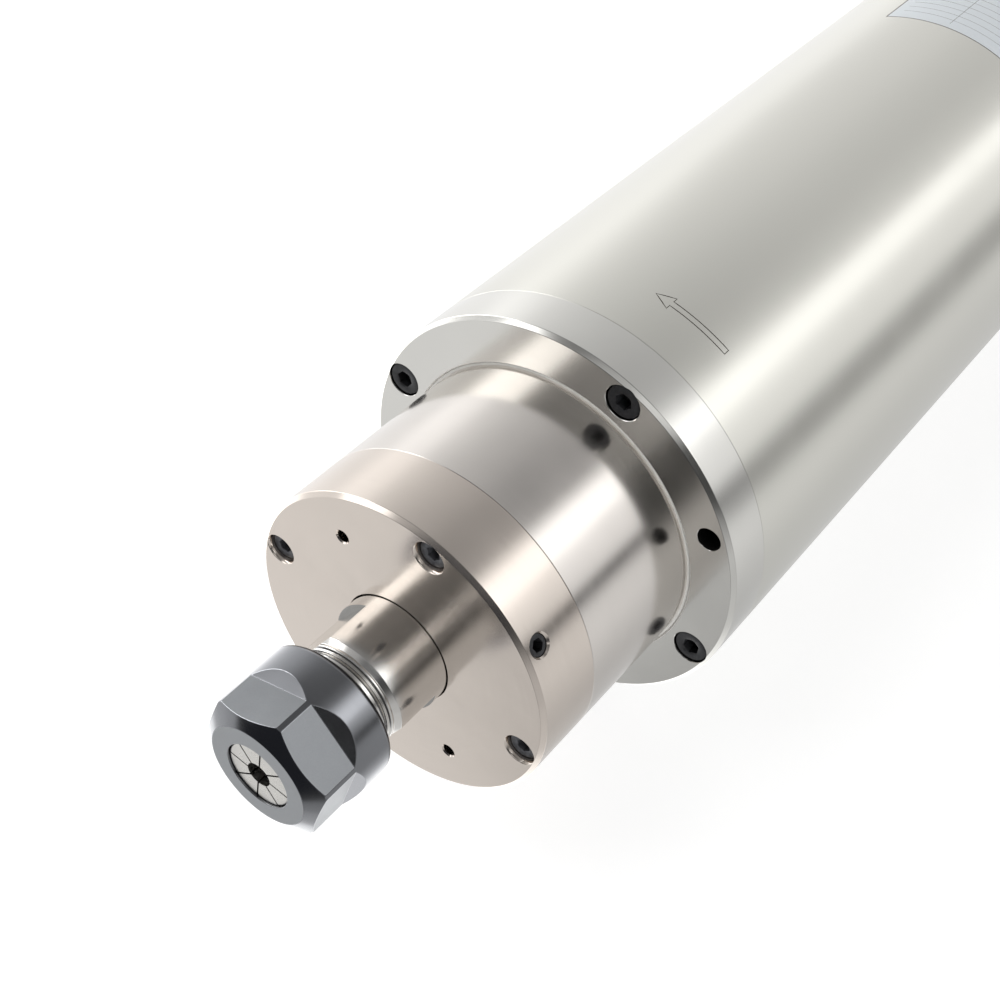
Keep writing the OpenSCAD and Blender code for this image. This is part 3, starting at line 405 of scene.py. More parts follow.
def cut_away(piece, cutters, operation="DIFFERENCE"):
    """Take solid cutters off a piece, or keep only what they share."""
    tool = joined("cutter", cutters)
    modifier = piece.modifiers.new("cut", "BOOLEAN")
    modifier.operation = operation
    modifier.solver = "EXACT"
    modifier.object = tool
    settled(piece)
    bpy.data.objects.remove(tool)
    return piece


# %% Drilling helpers
def on_circle(radius, angle):
    """X and Z of a point on a circle round the axis, in the radius's own unit."""
    a = math.radians(angle)
    return radius * math.cos(a), radius * math.sin(a)


def even_angles(first, count=4):
    """Angles of equally spaced places round the axis, in degrees."""
    return [first + 360 / count * i for i in range(count)]


def drill(radius, low, high):
    """Outline of a plain round cutter between two stations."""
    return [(0, low), (radius, low), (radius, high), (0, high)]


def mouth(radius, flare):
    """Flared start of a hole, as (radius, depth) steps from outside the face."""
    return [(radius + flare + 1, -1), (radius + flare, 0), (radius, flare)]


def sunk(face, steps, into=1):
    """Outline of a stepped cutter: (radius, depth) below a face, towards +Y or -Y."""
    line = [(radius, face + into * depth) for radius, depth in steps]
    end = [] if line[-1][0] == 0 else [(0, line[-1][1])]
    return [(0, line[0][1])] + line + end


def bores(outline, radius, angles, steps=48):
    """Cutters of one outline at several angles of a pitch circle."""
    return [turned("bore", outline, steps, 0.0, on_circle(radius, a)) for a in angles]


def stood_at(piece, angle, middle=(0.0, 0.0)):
    """Turn a piece made at the origin about Y, and move it to a middle in X and Z."""
    turn = Matrix.Rotation(math.radians(-angle), 4, "Y")
    place = Matrix.Translation((middle[0] * MM, 0, middle[1] * MM))
    piece.data.transform(place @ turn)
    return piece


def aimed_out(piece, angle, station):
    """Turn a piece that was made along Y so that it points out from the axis."""
    lay = Matrix.Rotation(math.radians(-90), 4, "Z")
    turn = Matrix.Rotation(math.radians(-angle), 4, "Y")
    piece.data.transform(Matrix.Translation((0, station * MM, 0)) @ turn @ lay)
    return piece


# %% [markdown]
# ## True normals
#
# A cut through a round face leaves long thin polygons, and their averaged normals make
# dark smears in a polished surface. The true surface is known, because it was turned: at
# each corner its normal leans outwards by an angle that depends only on radius and
# station. So the normals are worked out from that and stored on the mesh. A milled flat
# is wider than a turning step, and keeps the one normal of its plane.

# %% Shading helpers
# A plain facet larger than this, in square metres, keeps the one normal of its plane
FLAT_AREA = 1.5e-6
# How far a turned facet reaches from its middle and leans aside, in half steps
REACH_LIMIT = 1.6
LEAN_LIMIT = 1.3


def smooth_by_angle(piece, degrees=32.0):
    """Smooth shading, with sharp edges where the faces meet at a larger angle."""
    mesh = piece.data
    mesh.polygons.foreach_set("use_smooth", [True] * len(mesh.polygons))
    mesh.set_sharp_from_angle(angle=math.radians(degrees))
    return piece


def off_axis(point):
    """Distance of a point from the spindle's axis."""
    return math.hypot(point.x, point.z)


def ring_key(point):
    """Radius and station in tenths of a micrometre, equal all round a turned ring."""
    return round(off_axis(point) * 1e7), round(point.y * 1e7)


def spans_little(mesh, face, steps):
    """True for a face across the axis, or one no wider than a turning step."""
    if abs(face.normal.y) > 0.999:
        return True
    middle = math.atan2(face.center.z, face.center.x)
    reach = 0.0
    for v in face.vertices:
        p = mesh.vertices[v].co
        away = math.atan2(p.z, p.x) - middle
        reach = max(reach, abs(math.atan2(math.sin(away), math.cos(away))))
    return reach < REACH_LIMIT * math.pi / steps


def turned_slopes(mesh, steps):
    """How each turned face leans outwards and along, and the faces that meet at a ring."""
    most = LEAN_LIMIT * math.sin(math.pi / steps)
    lean, meets = {}, {}
    for face in mesh.polygons:
        across = Vector((face.center.x, 0.0, face.center.z))
        if across.length < ON_AXIS * MM:
            out, side = Vector((1, 0, 0)), face.normal.x ** 2 + face.normal.z ** 2
        else:
            out = across.normalized()
            side = abs(face.normal.z * out.x - face.normal.x * out.z)
        if side > most or not spans_little(mesh, face, steps):
            continue
        lean[face.index] = (face.normal.dot(out), face.normal.y)
        for v in face.vertices:
            key = ring_key(mesh.vertices[v].co)
            meets.setdefault(key, []).append((*lean[face.index], face.area))
    return lean, meets


def true_normals(piece, steps=STEPS, degrees=32.0):
    """Normals of the true turned surface, for a piece on the spindle's axis."""
    smooth_by_angle(piece, degrees)
    mesh = piece.data
    same = math.cos(math.radians(degrees))
    lean, meets = turned_slopes(mesh, steps)
    normals = [Vector(n.vector) for n in mesh.corner_normals]
    for face in mesh.polygons:
        if face.index not in lean:
            if face.area > FLAT_AREA:
                for loop in face.loop_indices:
                    normals[loop] = face.normal.copy()
            continue
        own = lean[face.index]
        for loop in face.loop_indices:
            p = mesh.vertices[mesh.loops[loop].vertex_index].co
            radius = off_axis(p)
            if radius < ON_AXIS * MM:
                continue
            sum_out = sum_along = 0.0
            for out, along, area in meets[ring_key(p)]:
                if out * own[0] + along * own[1] > same:
                    sum_out += out * area
                    sum_along += along * area
            normal = Vector((sum_out * p.x / radius, sum_along, sum_out * p.z / radius))
            if normal.length > 0:
                normals[loop] = normal.normalized()
    mesh.normals_split_custom_set(normals)
    return piece


# %% Placing helpers
def place_piece(piece, body, slot, material, *stands_for):
    """Give a finished piece its material, its body and the nodes it stands for; the slot is
    not used.
    """
    if material is not None:
        piece.data.materials.clear()
        piece.data.materials.append(material)
    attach(piece, body)
    if stands_for:
        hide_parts(*stands_for)
    print(piece.name, len(piece.data.polygons), "faces on", body)
    return piece


def paint_faces(piece, material, picked):
    """Give one more material to the faces that a test picks."""
    piece.data.materials.append(material)
    faces = [face for face in piece.data.polygons if picked(face)]
    for face in faces:
        face.material_index = len(piece.data.materials) - 1
    print(" ", material.name, "on", len(faces), "faces")


# %% [markdown]
# ## Metal finishes
#
# A turned face carries fine rings from the tool, a ground tube carries finer ones, and
# both have cloudy patches where they were wiped. The rings follow the axis on every
# turned shape, so the pattern reads radius plus station: on a tube that steps along its
# length, and on a face it steps outwards. Grooves go into bump, wiping into roughness.

# %% Finish helpers
def new_finish(name):
    """Empty material with a Principled shader, and its tree."""
    material = bpy.data.materials.new(name)
    material.use_nodes = True
    tree = material.node_tree
    tree.nodes.clear()
    shader = add_node(tree, "ShaderNodeBsdfPrincipled")
    end = add_node(tree, "ShaderNodeOutputMaterial")
    tree.links.new(shader.outputs[0], end.inputs["Surface"])
    return material, tree, shader


def object_place(tree):
    """Place on the piece in its own metres, which moves with it."""
    return add_node(tree, "ShaderNodeTexCoord").outputs["Object"]


def split(tree, vector):
    """The X, Y and Z parts of a vector."""
    return add_node(tree, "ShaderNodeSeparateXYZ", {0: vector}).outputs


def noise(tree, place, scale, detail=2.0, rough=0.5):
    """Soft random pattern that stays near its middle, 0.5."""
    return add_node(tree, "ShaderNodeTexNoise", {"Vector": place, "Scale": scale,
        "Detail": detail, "Roughness": rough}).outputs[0]


def spread(tree, factor, low, high):
    """Map a noise, which seldom leaves 0.3 to 0.7, onto a range."""
    return add_node(tree, "ShaderNodeMapRange",
        {0: factor, 1: 0.3, 2: 0.7, 3: low, 4: high}).outputs[0]


def average(tree, one, other, share=0.5):
    """Weighted mean of two patterns."""
    return maths(tree, "MULTIPLY_ADD", one, share,
        maths(tree, "MULTIPLY", other, 1.0 - share))


def axis_radius(tree, x, z):
    """Distance from the spindle's axis."""
    return maths(tree, "SQRT", maths(tree, "ADD",
        maths(tree, "MULTIPLY", x, x), maths(tree, "MULTIPLY", z, z)))


def two_tone(tree, factor, dark, light):
    """Mix of two colours by a factor."""
    return mixed(tree, factor, (*dark, 1.0), (*light, 1.0))


def bump(tree, height, depth):
    """Normal of a surface that a pattern raises by a depth in metres."""
    return add_node(tree, "ShaderNodeBump", {"Height": height, "Distance": depth}).outputs[0]


def shade_of(colour, amount):
    """Colour made darker or lighter."""
    return tuple(min(c * amount, 1.0) for c in colour)


# %% Ring pattern group
# Wiping streaks are nine times as wide as a ring, and break up sooner round the axis
STREAK_RINGS = 0.11
STREAK_BREAKS = 2.5
# Smallest radius, in metres, that the pattern divides by
SAFE_RADIUS = 0.0005


def make_ring_pattern():
    """Group with fine rings round the Y axis and soft clouds."""
    group = bpy.data.node_groups.new("turning_marks", "ShaderNodeTree")
    face = group.interface
    for label, start in (("Rings", 900.0), ("Clouds", 30.0)):
        socket = face.new_socket(label, in_out="INPUT", socket_type="NodeSocketFloat")
        socket.default_value = start
    for label in ("Groove", "Cloud", "Streak"):
        face.new_socket(label, in_out="OUTPUT", socket_type="NodeSocketFloat")
    given = add_node(group, "NodeGroupInput").outputs
    place = object_place(group)
    x, y, z = split(group, place)
    radius = axis_radius(group, x, z)
    safe = maths(group, "MAXIMUM", radius, SAFE_RADIUS)
    way_x, way_z = maths(group, "DIVIDE", x, safe), maths(group, "DIVIDE", z, safe)
    rings = maths(group, "MULTIPLY", maths(group, "ADD", radius, y), given["Rings"])
    groove_at = add_node(group, "ShaderNodeCombineXYZ", {0: way_x, 1: rings, 2: way_z})
    groove = noise(group, groove_at.outputs[0], 1.0, 3.0, 0.65)
    streak_at = add_node(group, "ShaderNodeCombineXYZ", {
        0: maths(group, "MULTIPLY", way_x, STREAK_BREAKS),
        1: maths(group, "MULTIPLY", rings, STREAK_RINGS),
        2: maths(group, "MULTIPLY", way_z, STREAK_BREAKS)})
    streak = noise(group, streak_at.outputs[0], 1.0)
    cloud = noise(group, place, given["Clouds"], 4.0, 0.6)
    end = add_node(group, "NodeGroupOutput")
    set_inputs(group, end, {"Groove": groove, "Cloud": cloud, "Streak": streak})
    return group


RING_PATTERN = make_ring_pattern()

# %% Turned metal
def turned_metal(name, colour, rough, rings=900.0, depth=1.2e-6, clouds=28.0, vary=0.05,
        brushed=0.12):
    """Metal with turning rings in its bump and wiping clouds in its roughness."""
    material, tree, shader = new_finish(name)
    groove, cloud, streak = add_node(tree, "ShaderNodeGroup",
        {"Rings": rings, "Clouds": clouds}, node_tree=RING_PATTERN).outputs
    blend = average(tree, streak, cloud)
    wiped = spread(tree, blend, rough * 0.85, rough * 1.2)
    fine = spread(tree, groove, -brushed * rough, brushed * rough)
    set_inputs(tree, shader, {
        "Base Color": two_tone(tree, spread(tree, blend, 0.0, 1.0),
            shade_of(colour, 1 - vary), shade_of(colour, 1 + vary * 0.6)),
        "Metallic": 1.0,
        "Roughness": maths(tree, "ADD", wiped, fine),
        "Normal": bump(tree, groove, depth)})
    return material


# %% Outside metals
STEEL_BODY = turned_metal("ground_body_steel", (0.80, 0.79, 0.735), 0.205, rings=700.0,
    depth=1.2e-7, vary=0.015, brushed=0.02)
STEEL_FLANGE = turned_metal("polished_flange_steel", (0.80, 0.79, 0.755), 0.16, rings=520.0,
    depth=3e-7, brushed=0.06)
STEEL_HOUSING = turned_metal("polished_housing_nickel", (0.81, 0.768, 0.728), 0.175,
    rings=600.0, depth=3e-7, brushed=0.06)
STEEL_COVER = turned_metal("satin_cover_nickel", (0.79, 0.715, 0.65), 0.175, rings=600.0,
    depth=5e-7)
STEEL_NOSE = turned_metal("polished_nose_steel", (0.78, 0.765, 0.74), 0.155, rings=800.0,
    depth=5e-7)
STEEL_MILLED = turned_metal("milled_nose_steel", (0.38, 0.375, 0.365), 0.34, rings=2600.0,
    depth=6e-6, clouds=90.0, vary=0.20, brushed=0.25)
STEEL_COLLET = turned_metal("hard_collet_steel", (0.72, 0.705, 0.67), 0.28, rings=1400.0,
    depth=2e-6)
# Near-black finish that paints the shade inside the tapped holes
PAINTED_SHADE_HOLE = turned_metal("oiled_hole", (0.10, 0.098, 0.095), 0.5, rings=2600.0, depth=4e-6)
NUT_METAL = turned_metal("gunmetal_nut", (0.285, 0.292, 0.31), 0.19, depth=2e-7,
    clouds=60.0, vary=0.04, brushed=0.05)


def phosphated(name, tone, metal, rough):
    """Satin coat with a fine grain and faint clouds, part metal and part chalk."""
    material, tree, shader = new_finish(name)
    place = object_place(tree)
    grain = noise(tree, place, 2600.0, 4.0, 0.7)
    cloud = noise(tree, place, 120.0, 4.0, 0.6)
    both = average(tree, grain, cloud, 0.4)
    set_inputs(tree, shader, {
        "Base Color": two_tone(tree, spread(tree, both, 0.0, 1.0), shade_of(tone, 0.92),
            shade_of(tone, 1.07)),
        "Metallic": metal,
        "Roughness": spread(tree, cloud, rough * 0.9, rough * 1.12),
        "Normal": bump(tree, grain, 1.5e-6)})
    return material


# A pale, nearly white finish that paints the highlight of the thin bright ring
PAINTED_HIGHLIGHT_FINISH = phosphated("bright_fine_chamfer", (0.92, 0.91, 0.87), 0.15, 0.50)
NUT_FLAT = phosphated("phosphated_flat", (0.285, 0.297, 0.312), 0.55, 0.36)
print("outside metals made:", len(bpy.data.materials))

# %% [markdown]
# ## Front cover
#
# The cover is a turned disc with a spigot behind it. Four screws sit in counterbores,
# two holes take jacking screws when it is pulled off, and a drilled gallery in its side
# is closed by a grub screw. Every hole in a plated face is countersunk a little, and that
# cone is what shines, so each cutter flares where it meets the face.

# %% Front cover
COVER_R = outer_radius("front_cover")
COVER_LIP = 14.25
LIP_BACK = COVER_FACE + 0.8
RIM_CHAMFER = 1.0
SPIGOT_R = 27.48
SPIGOT_BORE = 24.18
COVER_SCREW_R = 35.0
COVER_SCREW_FIRST = 73.0
COVER_SCREW_ANGLES = even_angles(COVER_SCREW_FIRST)
JACK_R = 29.0
JACK_ANGLES = even_angles(118.0, 2)

cover = turned("front_cover_dressed", softened([
    # the face, from a lip close round the nose to the chamfered rim
    (COVER_LIP, COVER_FACE, 0.12), (COVER_R - RIM_CHAMFER, COVER_FACE, 0.06),
    (COVER_R, COVER_FACE + RIM_CHAMFER, 0.08), (COVER_R, COVER_SEAM, 0.12),
    # the spigot that centres it in the housing
    (SPIGOT_R, COVER_SEAM), (SPIGOT_R, SPIGOT_END), (SPIGOT_BORE, SPIGOT_END),
    (SPIGOT_BORE, COVER_SEAM),
    # the room for the slinger, and the hole for the nose
    (21.5, COVER_SEAM), (21.5, -48), (14.75, -48), (14.75, LIP_BACK),
    (COVER_LIP, LIP_BACK)]))
screw_bore = sunk(COVER_FACE, [(5.2, -1), (4.03, 0), (3.95, 0.06), (3.58, 0.8), (3.56, 0.9),
    (3.56, 5.5), (2.25, 5.5), (2.25, 19)])
jack_bore = sunk(COVER_FACE, mouth(1.55, 0.32) + [(1.55, 19)])
cut_away(cover, bores(screw_bore, COVER_SCREW_R, COVER_SCREW_ANGLES, 72))
cut_away(cover, bores(jack_bore, JACK_R, JACK_ANGLES))

# %% Side gallery of the cover
GRUB_Y = -50.2
GRUB_ANGLE = 29.4
# (radius, distance from the spindle's axis): oil hole, thread and countersink
GALLERY = [(0, 15.2), (1.2, 15.2), (1.2, 33.4), (2.52, 33.4), (2.52, 39.5), (3.1, 40.1),
    (3.1, 41), (0, 41)]
cut_away(cover, [aimed_out(turned("gallery", GALLERY, 48), GRUB_ANGLE, GRUB_Y)])
true_normals(cover)
place_piece(cover, "housing", "nickel_satin", STEEL_COVER, "front_cover")

# %% [markdown]
# ## Bearing housing and mounting flange
#
# The housing is one turned part with a collar behind, and the flange is a ring that
# traps the collar against the body tube. Where they meet, a low step of the housing and
# the chamfer of the flange's bore show a thin bright ring. That highlight is painted on:
# both faces get a pale, nearly white finish of their own.

# %% Bearing housing
STEP_Y = 0.3
STEP_R = 40.6
COLLAR_R = outer_radius("bearing_housing")
COLLAR_START = 9.0
CENTRING_R = 41.98

housing = turned("bearing_housing_dressed", softened([
    # the polished cylinder, up to a low step in the flange
    (27.5, COVER_SEAM + 0.04), (COVER_R - 0.2, COVER_SEAM + 0.04),
    (COVER_R, COVER_SEAM + 0.2, 0.05), (COVER_R, STEP_Y), (STEP_R, STEP_Y),
    # the collar, and the spigot that centres it in the tube
    (STEP_R, COLLAR_START), (COLLAR_R, COLLAR_START), (COLLAR_R, TUBE_START),
    (CENTRING_R, TUBE_START), (CENTRING_R, HOUSING_END - 0.5), (41.5, HOUSING_END),
    # the seat of the bearing pair
    (32, HOUSING_END), (32, 4), (24, 4), (24, 1), (27.5, 1)]))
cut_away(housing, bores(drill(2, COVER_SEAM - 1, -23), COVER_SCREW_R, COVER_SCREW_ANGLES))
true_normals(housing)
place_piece(housing, "housing", "nickel_satin", STEEL_HOUSING, "bearing_housing")


def on_step(face):
    """True on the low step that shows beside the flange."""
    near = abs(face.center.y - STEP_Y * MM) < 0.06 * MM
    return near and off_axis(face.center) > (COVER_R + 0.02) * MM


# Painted highlight: the low step gets the pale finish
paint_faces(housing, PAINTED_HIGHLIGHT_FINISH, on_step)

# %% Mounting flange
WALL_R = 47.25
FLANGE_SCREW_FIRST = 65.3
FLANGE_SCREW_ANGLES = even_angles(FLANGE_SCREW_FIRST)
OPEN_HOLE_ANGLES = even_angles(20.3, 2)
OPEN_HOLE_R = 3.0
FLANGE_BORE = 40.62

flange = turned("mounting_flange_dressed", softened([
    # the face, from the bright edge of the bore to the chamfered rim
    (40.95, FLANGE_FACE, 0.05), (BODY_R - RIM_CHAMFER, FLANGE_FACE, 0.08),
    (BODY_R, FLANGE_FACE + RIM_CHAMFER, 0.12), (BODY_R, TUBE_START - 0.06, 0.05),
    (BODY_R - 0.08, TUBE_START),
    # the recess for the collar, and the bore
    (43, TUBE_START), (43, COLLAR_START), (FLANGE_BORE, COLLAR_START),
    (FLANGE_BORE, 0.33, 0.03)]))
cut_away(flange, bores(sunk(FLANGE_FACE, mouth(4.5, 0.12) + [(4.5, 5.4), (2.75, 5.4),
    (2.75, 14)]), WALL_R, FLANGE_SCREW_ANGLES, 72))
cut_away(flange, bores(sunk(FLANGE_FACE, mouth(OPEN_HOLE_R, 0.08) + [(OPEN_HOLE_R, 10),
    (0, 11.6)]), WALL_R, OPEN_HOLE_ANGLES))
true_normals(flange)
place_piece(flange, "housing", "stainless_body", STEEL_FLANGE, "mounting_flange")


def in_open_hole(face):
    """True on the wall and the drill point of a tapped hole."""
    for angle in OPEN_HOLE_ANGLES:
        x, z = on_circle(WALL_R * MM, angle)
        away = math.hypot(face.center.x - x, face.center.z - z)
        if away < (OPEN_HOLE_R + 0.05) * MM and face.center.y > 0.15 * MM:
            return True
    return False


def on_bore_edge(face):
    """True on the chamfer between the flange's face and its bore."""
    return off_axis(face.center) < 41.0 * MM and face.center.y < 0.34 * MM


# Painted shade on the walls and drill points of the tapped holes
paint_faces(flange, PAINTED_SHADE_HOLE, in_open_hole)
# Painted highlight: the chamfer of the flange's bore gets the pale finish
paint_faces(flange, PAINTED_HIGHLIGHT_FINISH, on_bore_edge)

# %% [markdown]
# ## Body tube
#
# The tube is ground outside. Its wall hides eight drilled channels, joined in pairs by
# pockets in the ends, so that coolant passes along the motor eight times. The turning
# arrow is cut as a fine groove: a thin round cutter follows the arrow's outline, wrapped
# on the tube, which a geometry node tree sweeps along that path.

# %% Tree helpers
def new_tree(name, inputs):
    """Geometry tree with named inputs, and its group input and output nodes."""
    tree = bpy.data.node_groups.new(name, "GeometryNodeTree")
    face = tree.interface
    face.new_socket("Geometry", in_out="INPUT", socket_type="NodeSocketGeometry")
    for label, kind in inputs:
        face.new_socket(label, in_out="INPUT", socket_type="NodeSocket" + kind)
    face.new_socket("Geometry", in_out="OUTPUT", socket_type="NodeSocketGeometry")
    given = add_node(tree, "NodeGroupInput").outputs
    return tree, given, add_node(tree, "NodeGroupOutput")


def finish_tree(tree, end, geometry, material):
    """Close a tree with Realize Instances and Set Material."""
    real = add_node(tree, "GeometryNodeRealizeInstances", {0: geometry})
    painted = add_node(tree, "GeometryNodeSetMaterial",
        {"Geometry": real.outputs[0], "Material": material})
    tree.links.new(painted.outputs[0], end.inputs[0])


def run_tree(piece, tree, **values):
    """Run a tree on a piece with inputs by name, and keep the plain mesh."""
    modifier = piece.modifiers.new("pattern", "NODES")
    modifier.node_group = tree
    for item in tree.interface.items_tree:
        if item.in_out == "INPUT" and item.name.replace(" ", "_") in values:
            modifier[item.identifier] = values[item.name.replace(" ", "_")]
    return settled(piece)


# %% Groove tree
ARROW_Y = 28.15
# Corners of the arrow's outline: (angle round the tube, station past ARROW_Y)
ARROW = [(79.65, 0), (74.85, -2.25), (74.85, -0.87), (56.75, -0.87), (56.75, 0.87),
    (74.85, 0.87), (74.85, 2.25)]
WRAP_STEP = 1.5


def make_groove_tree():
    """Round cutter swept along the edges of a wire."""
    tree, given, end = new_tree("swept_groove",
        [("Radius", "Float"), ("Finish", "Material")])
    path = add_node(tree, "GeometryNodeMeshToCurve", {0: given["Geometry"]})
    ring = add_node(tree, "GeometryNodeCurvePrimitiveCircle",
        {"Resolution": 8, "Radius": given["Radius"]})
    tube = add_node(tree, "GeometryNodeCurveToMesh",
        {"Curve": path.outputs[0], "Profile Curve": ring.outputs[0]})
    finish_tree(tree, end, tube.outputs[0], given["Finish"])
    return tree


def arrow_wire():
    """Closed wire of the arrow, wrapped on the tube in small steps."""
    points = []
    for (a0, y0), (a1, y1) in zip(ARROW, ARROW[1:] + ARROW[:1]):
        count = max(1, round(abs(a1 - a0) / WRAP_STEP))
        for k in range(count):
            s = k / count
            x, z = on_circle(BODY_R, a0 + (a1 - a0) * s)
            points.append((x * MM, (ARROW_Y + y0 + (y1 - y0) * s) * MM, z * MM))
    mesh = bpy.data.meshes.new("arrow_wire")
    ring = [(i, (i + 1) % len(points)) for i in range(len(points))]
    mesh.from_pydata(points, ring, [])
    return new_object("arrow_wire", mesh)


GROOVE_TREE = make_groove_tree()

# %% Wrapped sheets
def wrapped_box(name, radii, angles, stations, across):
    """Closed curved box between two radii, two angles and two stations."""
    count = round((angles[1] - angles[0]) / across)
    points, faces = [], []
    for k in range(count + 1):
        angle = angles[0] + (angles[1] - angles[0]) * k / count
        for radius in radii:
            for station in stations:
                x, z = on_circle(radius, angle)
                points.append((x, station, z))
    for k in range(count):
        a, b = 4 * k, 4 * k + 4
        for p, q in ((0, 1), (1, 3), (3, 2), (2, 0)):
            faces.append((a + p, a + q, b + q, b + p))
    last = 4 * count
    faces += [(0, 1, 3, 2), (last, last + 1, last + 3, last + 2)]
    return mesh_piece(name, points, faces)


# %% Body tube
TUBE_BORE = 42.0
CHANNEL_R = 2.5
SCREW_DEPTH = 17
CHANNEL_ANGLES = even_angles(FLANGE_SCREW_FIRST + 22.5, 8)
REAR_SCREW_FIRST = FLANGE_SCREW_FIRST + 45
REAR_SCREW_ANGLES = even_angles(REAR_SCREW_FIRST)
POCKET_RADII = (WALL_R - 2.2, WALL_R + 2.2)


def pocket(middle, low, high):
    """Curved pocket that joins the two channels beside a middle angle."""
    return wrapped_box("pocket", POCKET_RADII, (middle - 22.5, middle + 22.5), (low, high),
        45 / 12)


tube = turned("body_tube_dressed", softened([
    (TUBE_BORE, TUBE_START), (BODY_R - 0.08, TUBE_START), (BODY_R, TUBE_START + 0.06, 0.05),
    (BODY_R, TUBE_END, 0.12), (TUBE_BORE, TUBE_END)]))
cut_away(tube, bores(drill(CHANNEL_R, TUBE_START - 1, TUBE_END + 1), WALL_R, CHANNEL_ANGLES,
    32))
cut_away(tube, bores(drill(CHANNEL_R, TUBE_START - 1, TUBE_START + SCREW_DEPTH), WALL_R,
    FLANGE_SCREW_ANGLES, 32))
cut_away(tube, bores(drill(CHANNEL_R, TUBE_END - SCREW_DEPTH, TUBE_END + 1), WALL_R,
    REAR_SCREW_ANGLES, 32))
# The rear misses one pocket, between the two hose fittings
front_pockets = [pocket(a, TUBE_START - 1, TUBE_START + 4) for a in REAR_SCREW_ANGLES]
rear_pockets = [pocket(a, TUBE_END - 4, TUBE_END + 1)
    for i, a in enumerate(FLANGE_SCREW_ANGLES) if i != 2]
cut_away(tube, front_pockets)
cut_away(tube, rear_pockets)
print("body tube faces:", len(tube.data.polygons))

# %% Label recess
LABEL_ANGLES = (38.25, 106.5)
LABEL_STATIONS = (190.0, 252.0)
LABEL_DEPTH = 0.06
SHEET_STEP = 1.5
cut_away(tube, [wrapped_box("recess", (BODY_R - LABEL_DEPTH, BODY_R + 1), LABEL_ANGLES,
    LABEL_STATIONS, SHEET_STEP)])

# %% Turning arrow
GROOVE_R = 0.14
ARROW_DARK = turned_metal("marked_groove", (0.16, 0.14, 0.12), 0.55, depth=1e-6)
cutter = run_tree(arrow_wire(), GROOVE_TREE, Radius=GROOVE_R * MM, Finish=ARROW_DARK)
cut_away(tube, [cutter])
true_normals(tube)
place_piece(tube, "housing", "stainless_body", STEEL_BODY, "body_tube")


def in_arrow(face):
    """True in the arrow's groove, a little below the tube's surface."""
    depth = BODY_R - off_axis(face.center) / MM
    return 20 < face.center.y / MM < 35 and 0.008 < depth < 0.4


paint_faces(tube, ARROW_DARK, in_arrow)

# %% [markdown]
# ## Rating plate
#
# A silver foil label is stuck on the top of the tube. Its words are left out: it is ruled
# like an empty form, with a dark border, rows and one column line. The foil lies in a
# hair-deep recess, so it never stands proud of the ground tube.

# %% Rating plate
LINE_HALF = 0.07
ROW_PITCH = 3.6
ROW_MARGIN = 3.0
COLUMN_SHARES = (0.36, 0.70)
BORDER = 0.35


def sheet_chart(piece, angles, stations):
    """UV map of a wrapped sheet: share of its angles, share of its stations."""
    chart = piece.data.uv_layers.new(name="sheet")
    for loop in piece.data.loops:
        x, y, z = piece.data.vertices[loop.vertex_index].co / MM
        angle = math.degrees(math.atan2(z, x))
        chart.data[loop.index].uv = (
            (angle - angles[0]) / (angles[1] - angles[0]),
            (y - stations[0]) / (stations[1] - stations[0]))


def ruled_foil():
    """Silver foil with a printed border and ruled rows, drawn on the sheet's own UV."""
    material, tree, shader = new_finish("ruled_silver_foil")
    u, v, _ = split(tree, add_node(tree, "ShaderNodeUVMap", uv_map="sheet").outputs[0])
    wide = math.radians(LABEL_ANGLES[1] - LABEL_ANGLES[0]) * BODY_R
    tall = LABEL_STATIONS[1] - LABEL_STATIONS[0]
    along, up = maths(tree, "MULTIPLY", u, wide), maths(tree, "MULTIPLY", v, tall)

    def both(one, other):
        return maths(tree, "MULTIPLY", one, other)

    def either(one, other):
        return maths(tree, "MAXIMUM", one, other)

    def line(value, target):
        return maths(tree, "COMPARE", value, target, LINE_HALF)

    def within(value, margin, whole):
        return both(maths(tree, "GREATER_THAN", value, margin),
            maths(tree, "LESS_THAN", value, whole - margin))

    ruled = within(up, ROW_MARGIN, tall)
    row = maths(tree, "MODULO", up, ROW_PITCH)
    rows = both(both(line(row, ROW_PITCH / 2), ruled), within(along, ROW_MARGIN + 0.2, wide))
    columns = either(*(line(along, wide * share) for share in COLUMN_SHARES))
    inside = both(within(along, BORDER, wide), within(up, BORDER, tall))
    ink = either(either(rows, both(columns, ruled)), maths(tree, "SUBTRACT", 1.0, inside))
    grain = noise(tree, object_place(tree), 1500.0, 3.0)
    foil = two_tone(tree, grain, (0.66, 0.70, 0.73), (0.74, 0.78, 0.81))
    set_inputs(tree, shader, {
        "Base Color": mixed(tree, ink, foil, (0.10, 0.09, 0.08, 1.0)),
        "Metallic": 0.25,
        "Roughness": spread(tree, grain, 0.30, 0.42)})
    return material


foil_angles = (LABEL_ANGLES[0] + 0.05, LABEL_ANGLES[1] - 0.05)
foil_stations = (LABEL_STATIONS[0] + 0.04, LABEL_STATIONS[1] - 0.04)
label = wrapped_box("rating_plate", (BODY_R - LABEL_DEPTH + 0.005, BODY_R - 0.008),
    foil_angles, foil_stations, SHEET_STEP)
sheet_chart(label, foil_angles, foil_stations)
true_normals(label)
place_piece(label, "housing", "stainless_body", ruled_foil())

# %% [markdown]
# ## Screws
#
# Every screw of one kind is the same, so one is modelled and a node tree repeats it on
# its pitch circle. Real screws stop at any angle, so the tree turns each by a random
# amount with a fixed seed, and no two hexagon sockets line up.

